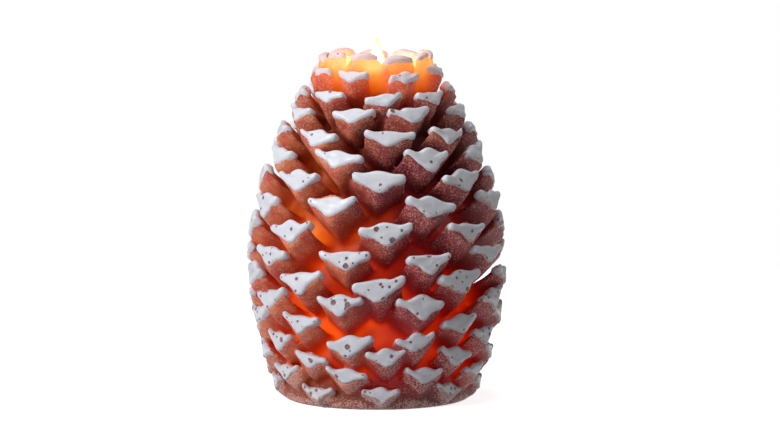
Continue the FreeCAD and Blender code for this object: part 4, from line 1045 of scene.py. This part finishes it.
def make_floor():
    """A large pale floor, clear from below so that the underside can be looked at."""
    mesh = bpy.data.meshes.new("floor")
    side, back = 3.0, 0.45
    corners = [(-side, -side, 0), (side, -side, 0), (side, back, 0), (-side, back, 0)]
    mesh.from_pydata(corners, [], [(0, 1, 2, 3)])
    floor = bpy.data.objects.new("floor", mesh)
    bpy.context.scene.collection.objects.link(floor)
    paint = Paint("floor_paper", Roughness=0.9, Emission_Color=(1.0, 1.0, 1.0, 1.0), Emission_Strength=0.80)
    fibre = paint.noise(30, 3)
    paint.colour(paint.mix(paint.remap(fibre, 0.3, 0.7), (0.90, 0.90, 0.90), (0.92, 0.92, 0.92)))
    clear = paint.node("ShaderNodeBsdfTransparent")
    either = paint.node("ShaderNodeMixShader")
    paint.link(paint.node("ShaderNodeNewGeometry").outputs["Backfacing"], either.inputs["Fac"])
    paint.link(paint.shader.outputs["BSDF"], either.inputs[1])
    paint.link(clear.outputs["BSDF"], either.inputs[2])
    paint.link(either.outputs["Shader"], paint.tree.nodes["Material Output"].inputs["Surface"])
    mesh.materials.append(paint.material)
    floor.visible_diffuse = False          # it looks white, and doesn't light the object from below


def add_lamp(name, kind, place, watts, tint):
    """A lamp of a kind at a place."""
    lamp = bpy.data.lights.new(name, kind)
    lamp.energy = watts
    lamp.color = tint
    item = bpy.data.objects.new(name, lamp)
    item.location = place
    bpy.context.scene.collection.objects.link(item)
    return item


def soft_light(name, place, aim, width, watts, tint):
    """Soft box that looks at a point."""
    item = add_lamp(name, "AREA", place, watts, tint)
    item.data.shape = "DISK"
    item.data.size = width
    item.rotation_euler = (Vector(aim) - Vector(place)).to_track_quat("-Z", "Y").to_euler()


def make_light():
    """Soft key from the front left, a wide box overhead, a dim sky and the flame's own shine."""
    middle = (0, 0, 0.08)
    soft_light("key", (-1.15, -0.80, 0.60), middle, 0.45, 15, (0.95, 0.97, 1.0))
    soft_light("overhead", (-0.1, -0.1, 1.6), (0, 0, 0), 0.8, 7, (1.0, 1.0, 1.0))
    world = bpy.data.worlds.new("sky")
    bpy.context.scene.world = world
    world.use_nodes = True
    sky = world.node_tree.nodes["Background"]
    sky.inputs["Color"].default_value = (1.0, 1.0, 1.0, 1.0)
    nodes, links = world.node_tree.nodes, world.node_tree.links
    ray = nodes.new("ShaderNodeLightPath")
    level = nodes.new("ShaderNodeMapRange")
    level.inputs["To Min"].default_value = 0.22
    level.inputs["To Max"].default_value = 1.0
    links.new(ray.outputs["Is Camera Ray"], level.inputs["Value"])
    links.new(level.outputs["Result"], sky.inputs["Strength"])
    shine = add_lamp("flame_shine", "POINT", (0, -0.004, 0.137), 0.035, (1.0, 0.62, 0.25))
    shine.data.shadow_soft_size = 0.003


CAMERA_DISTANCE = 1.6
CAMERA_ELEVATION = 6
FRAME_WIDTH = 0.3237          # metres across the picture at the object
SENSOR_WIDTH = 36.0
CAMERA_AIM = (0.0054, 0, 0.0743)


def make_camera():
    """Long lens from the front, a little above."""
    lens = bpy.data.cameras.new("camera")
    lens.sensor_width = SENSOR_WIDTH
    lens.lens = SENSOR_WIDTH * CAMERA_DISTANCE / FRAME_WIDTH
    lens.clip_end = 20
    camera = bpy.data.objects.new("camera", lens)
    bpy.context.scene.collection.objects.link(camera)
    aim = Vector(CAMERA_AIM)
    raised = math.radians(CAMERA_ELEVATION)
    camera.location = aim + Vector((0, -math.cos(raised), math.sin(raised))) * CAMERA_DISTANCE
    camera.rotation_euler = (aim - camera.location).to_track_quat("-Z", "Y").to_euler()
    bpy.context.scene.camera = camera


def main():
    """Build the looks, then the stage."""
    places = scale_places()
    wax = make_wax(places)
    snow = make_snow(places)
    flame = make_flame()
    paint_everything(wax, snow, flame)
    make_floor()
    make_light()
    make_camera()
    scene = bpy.context.scene
    scene.view_settings.view_transform = "Standard"
    scene.cycles.use_denoising = True


main()
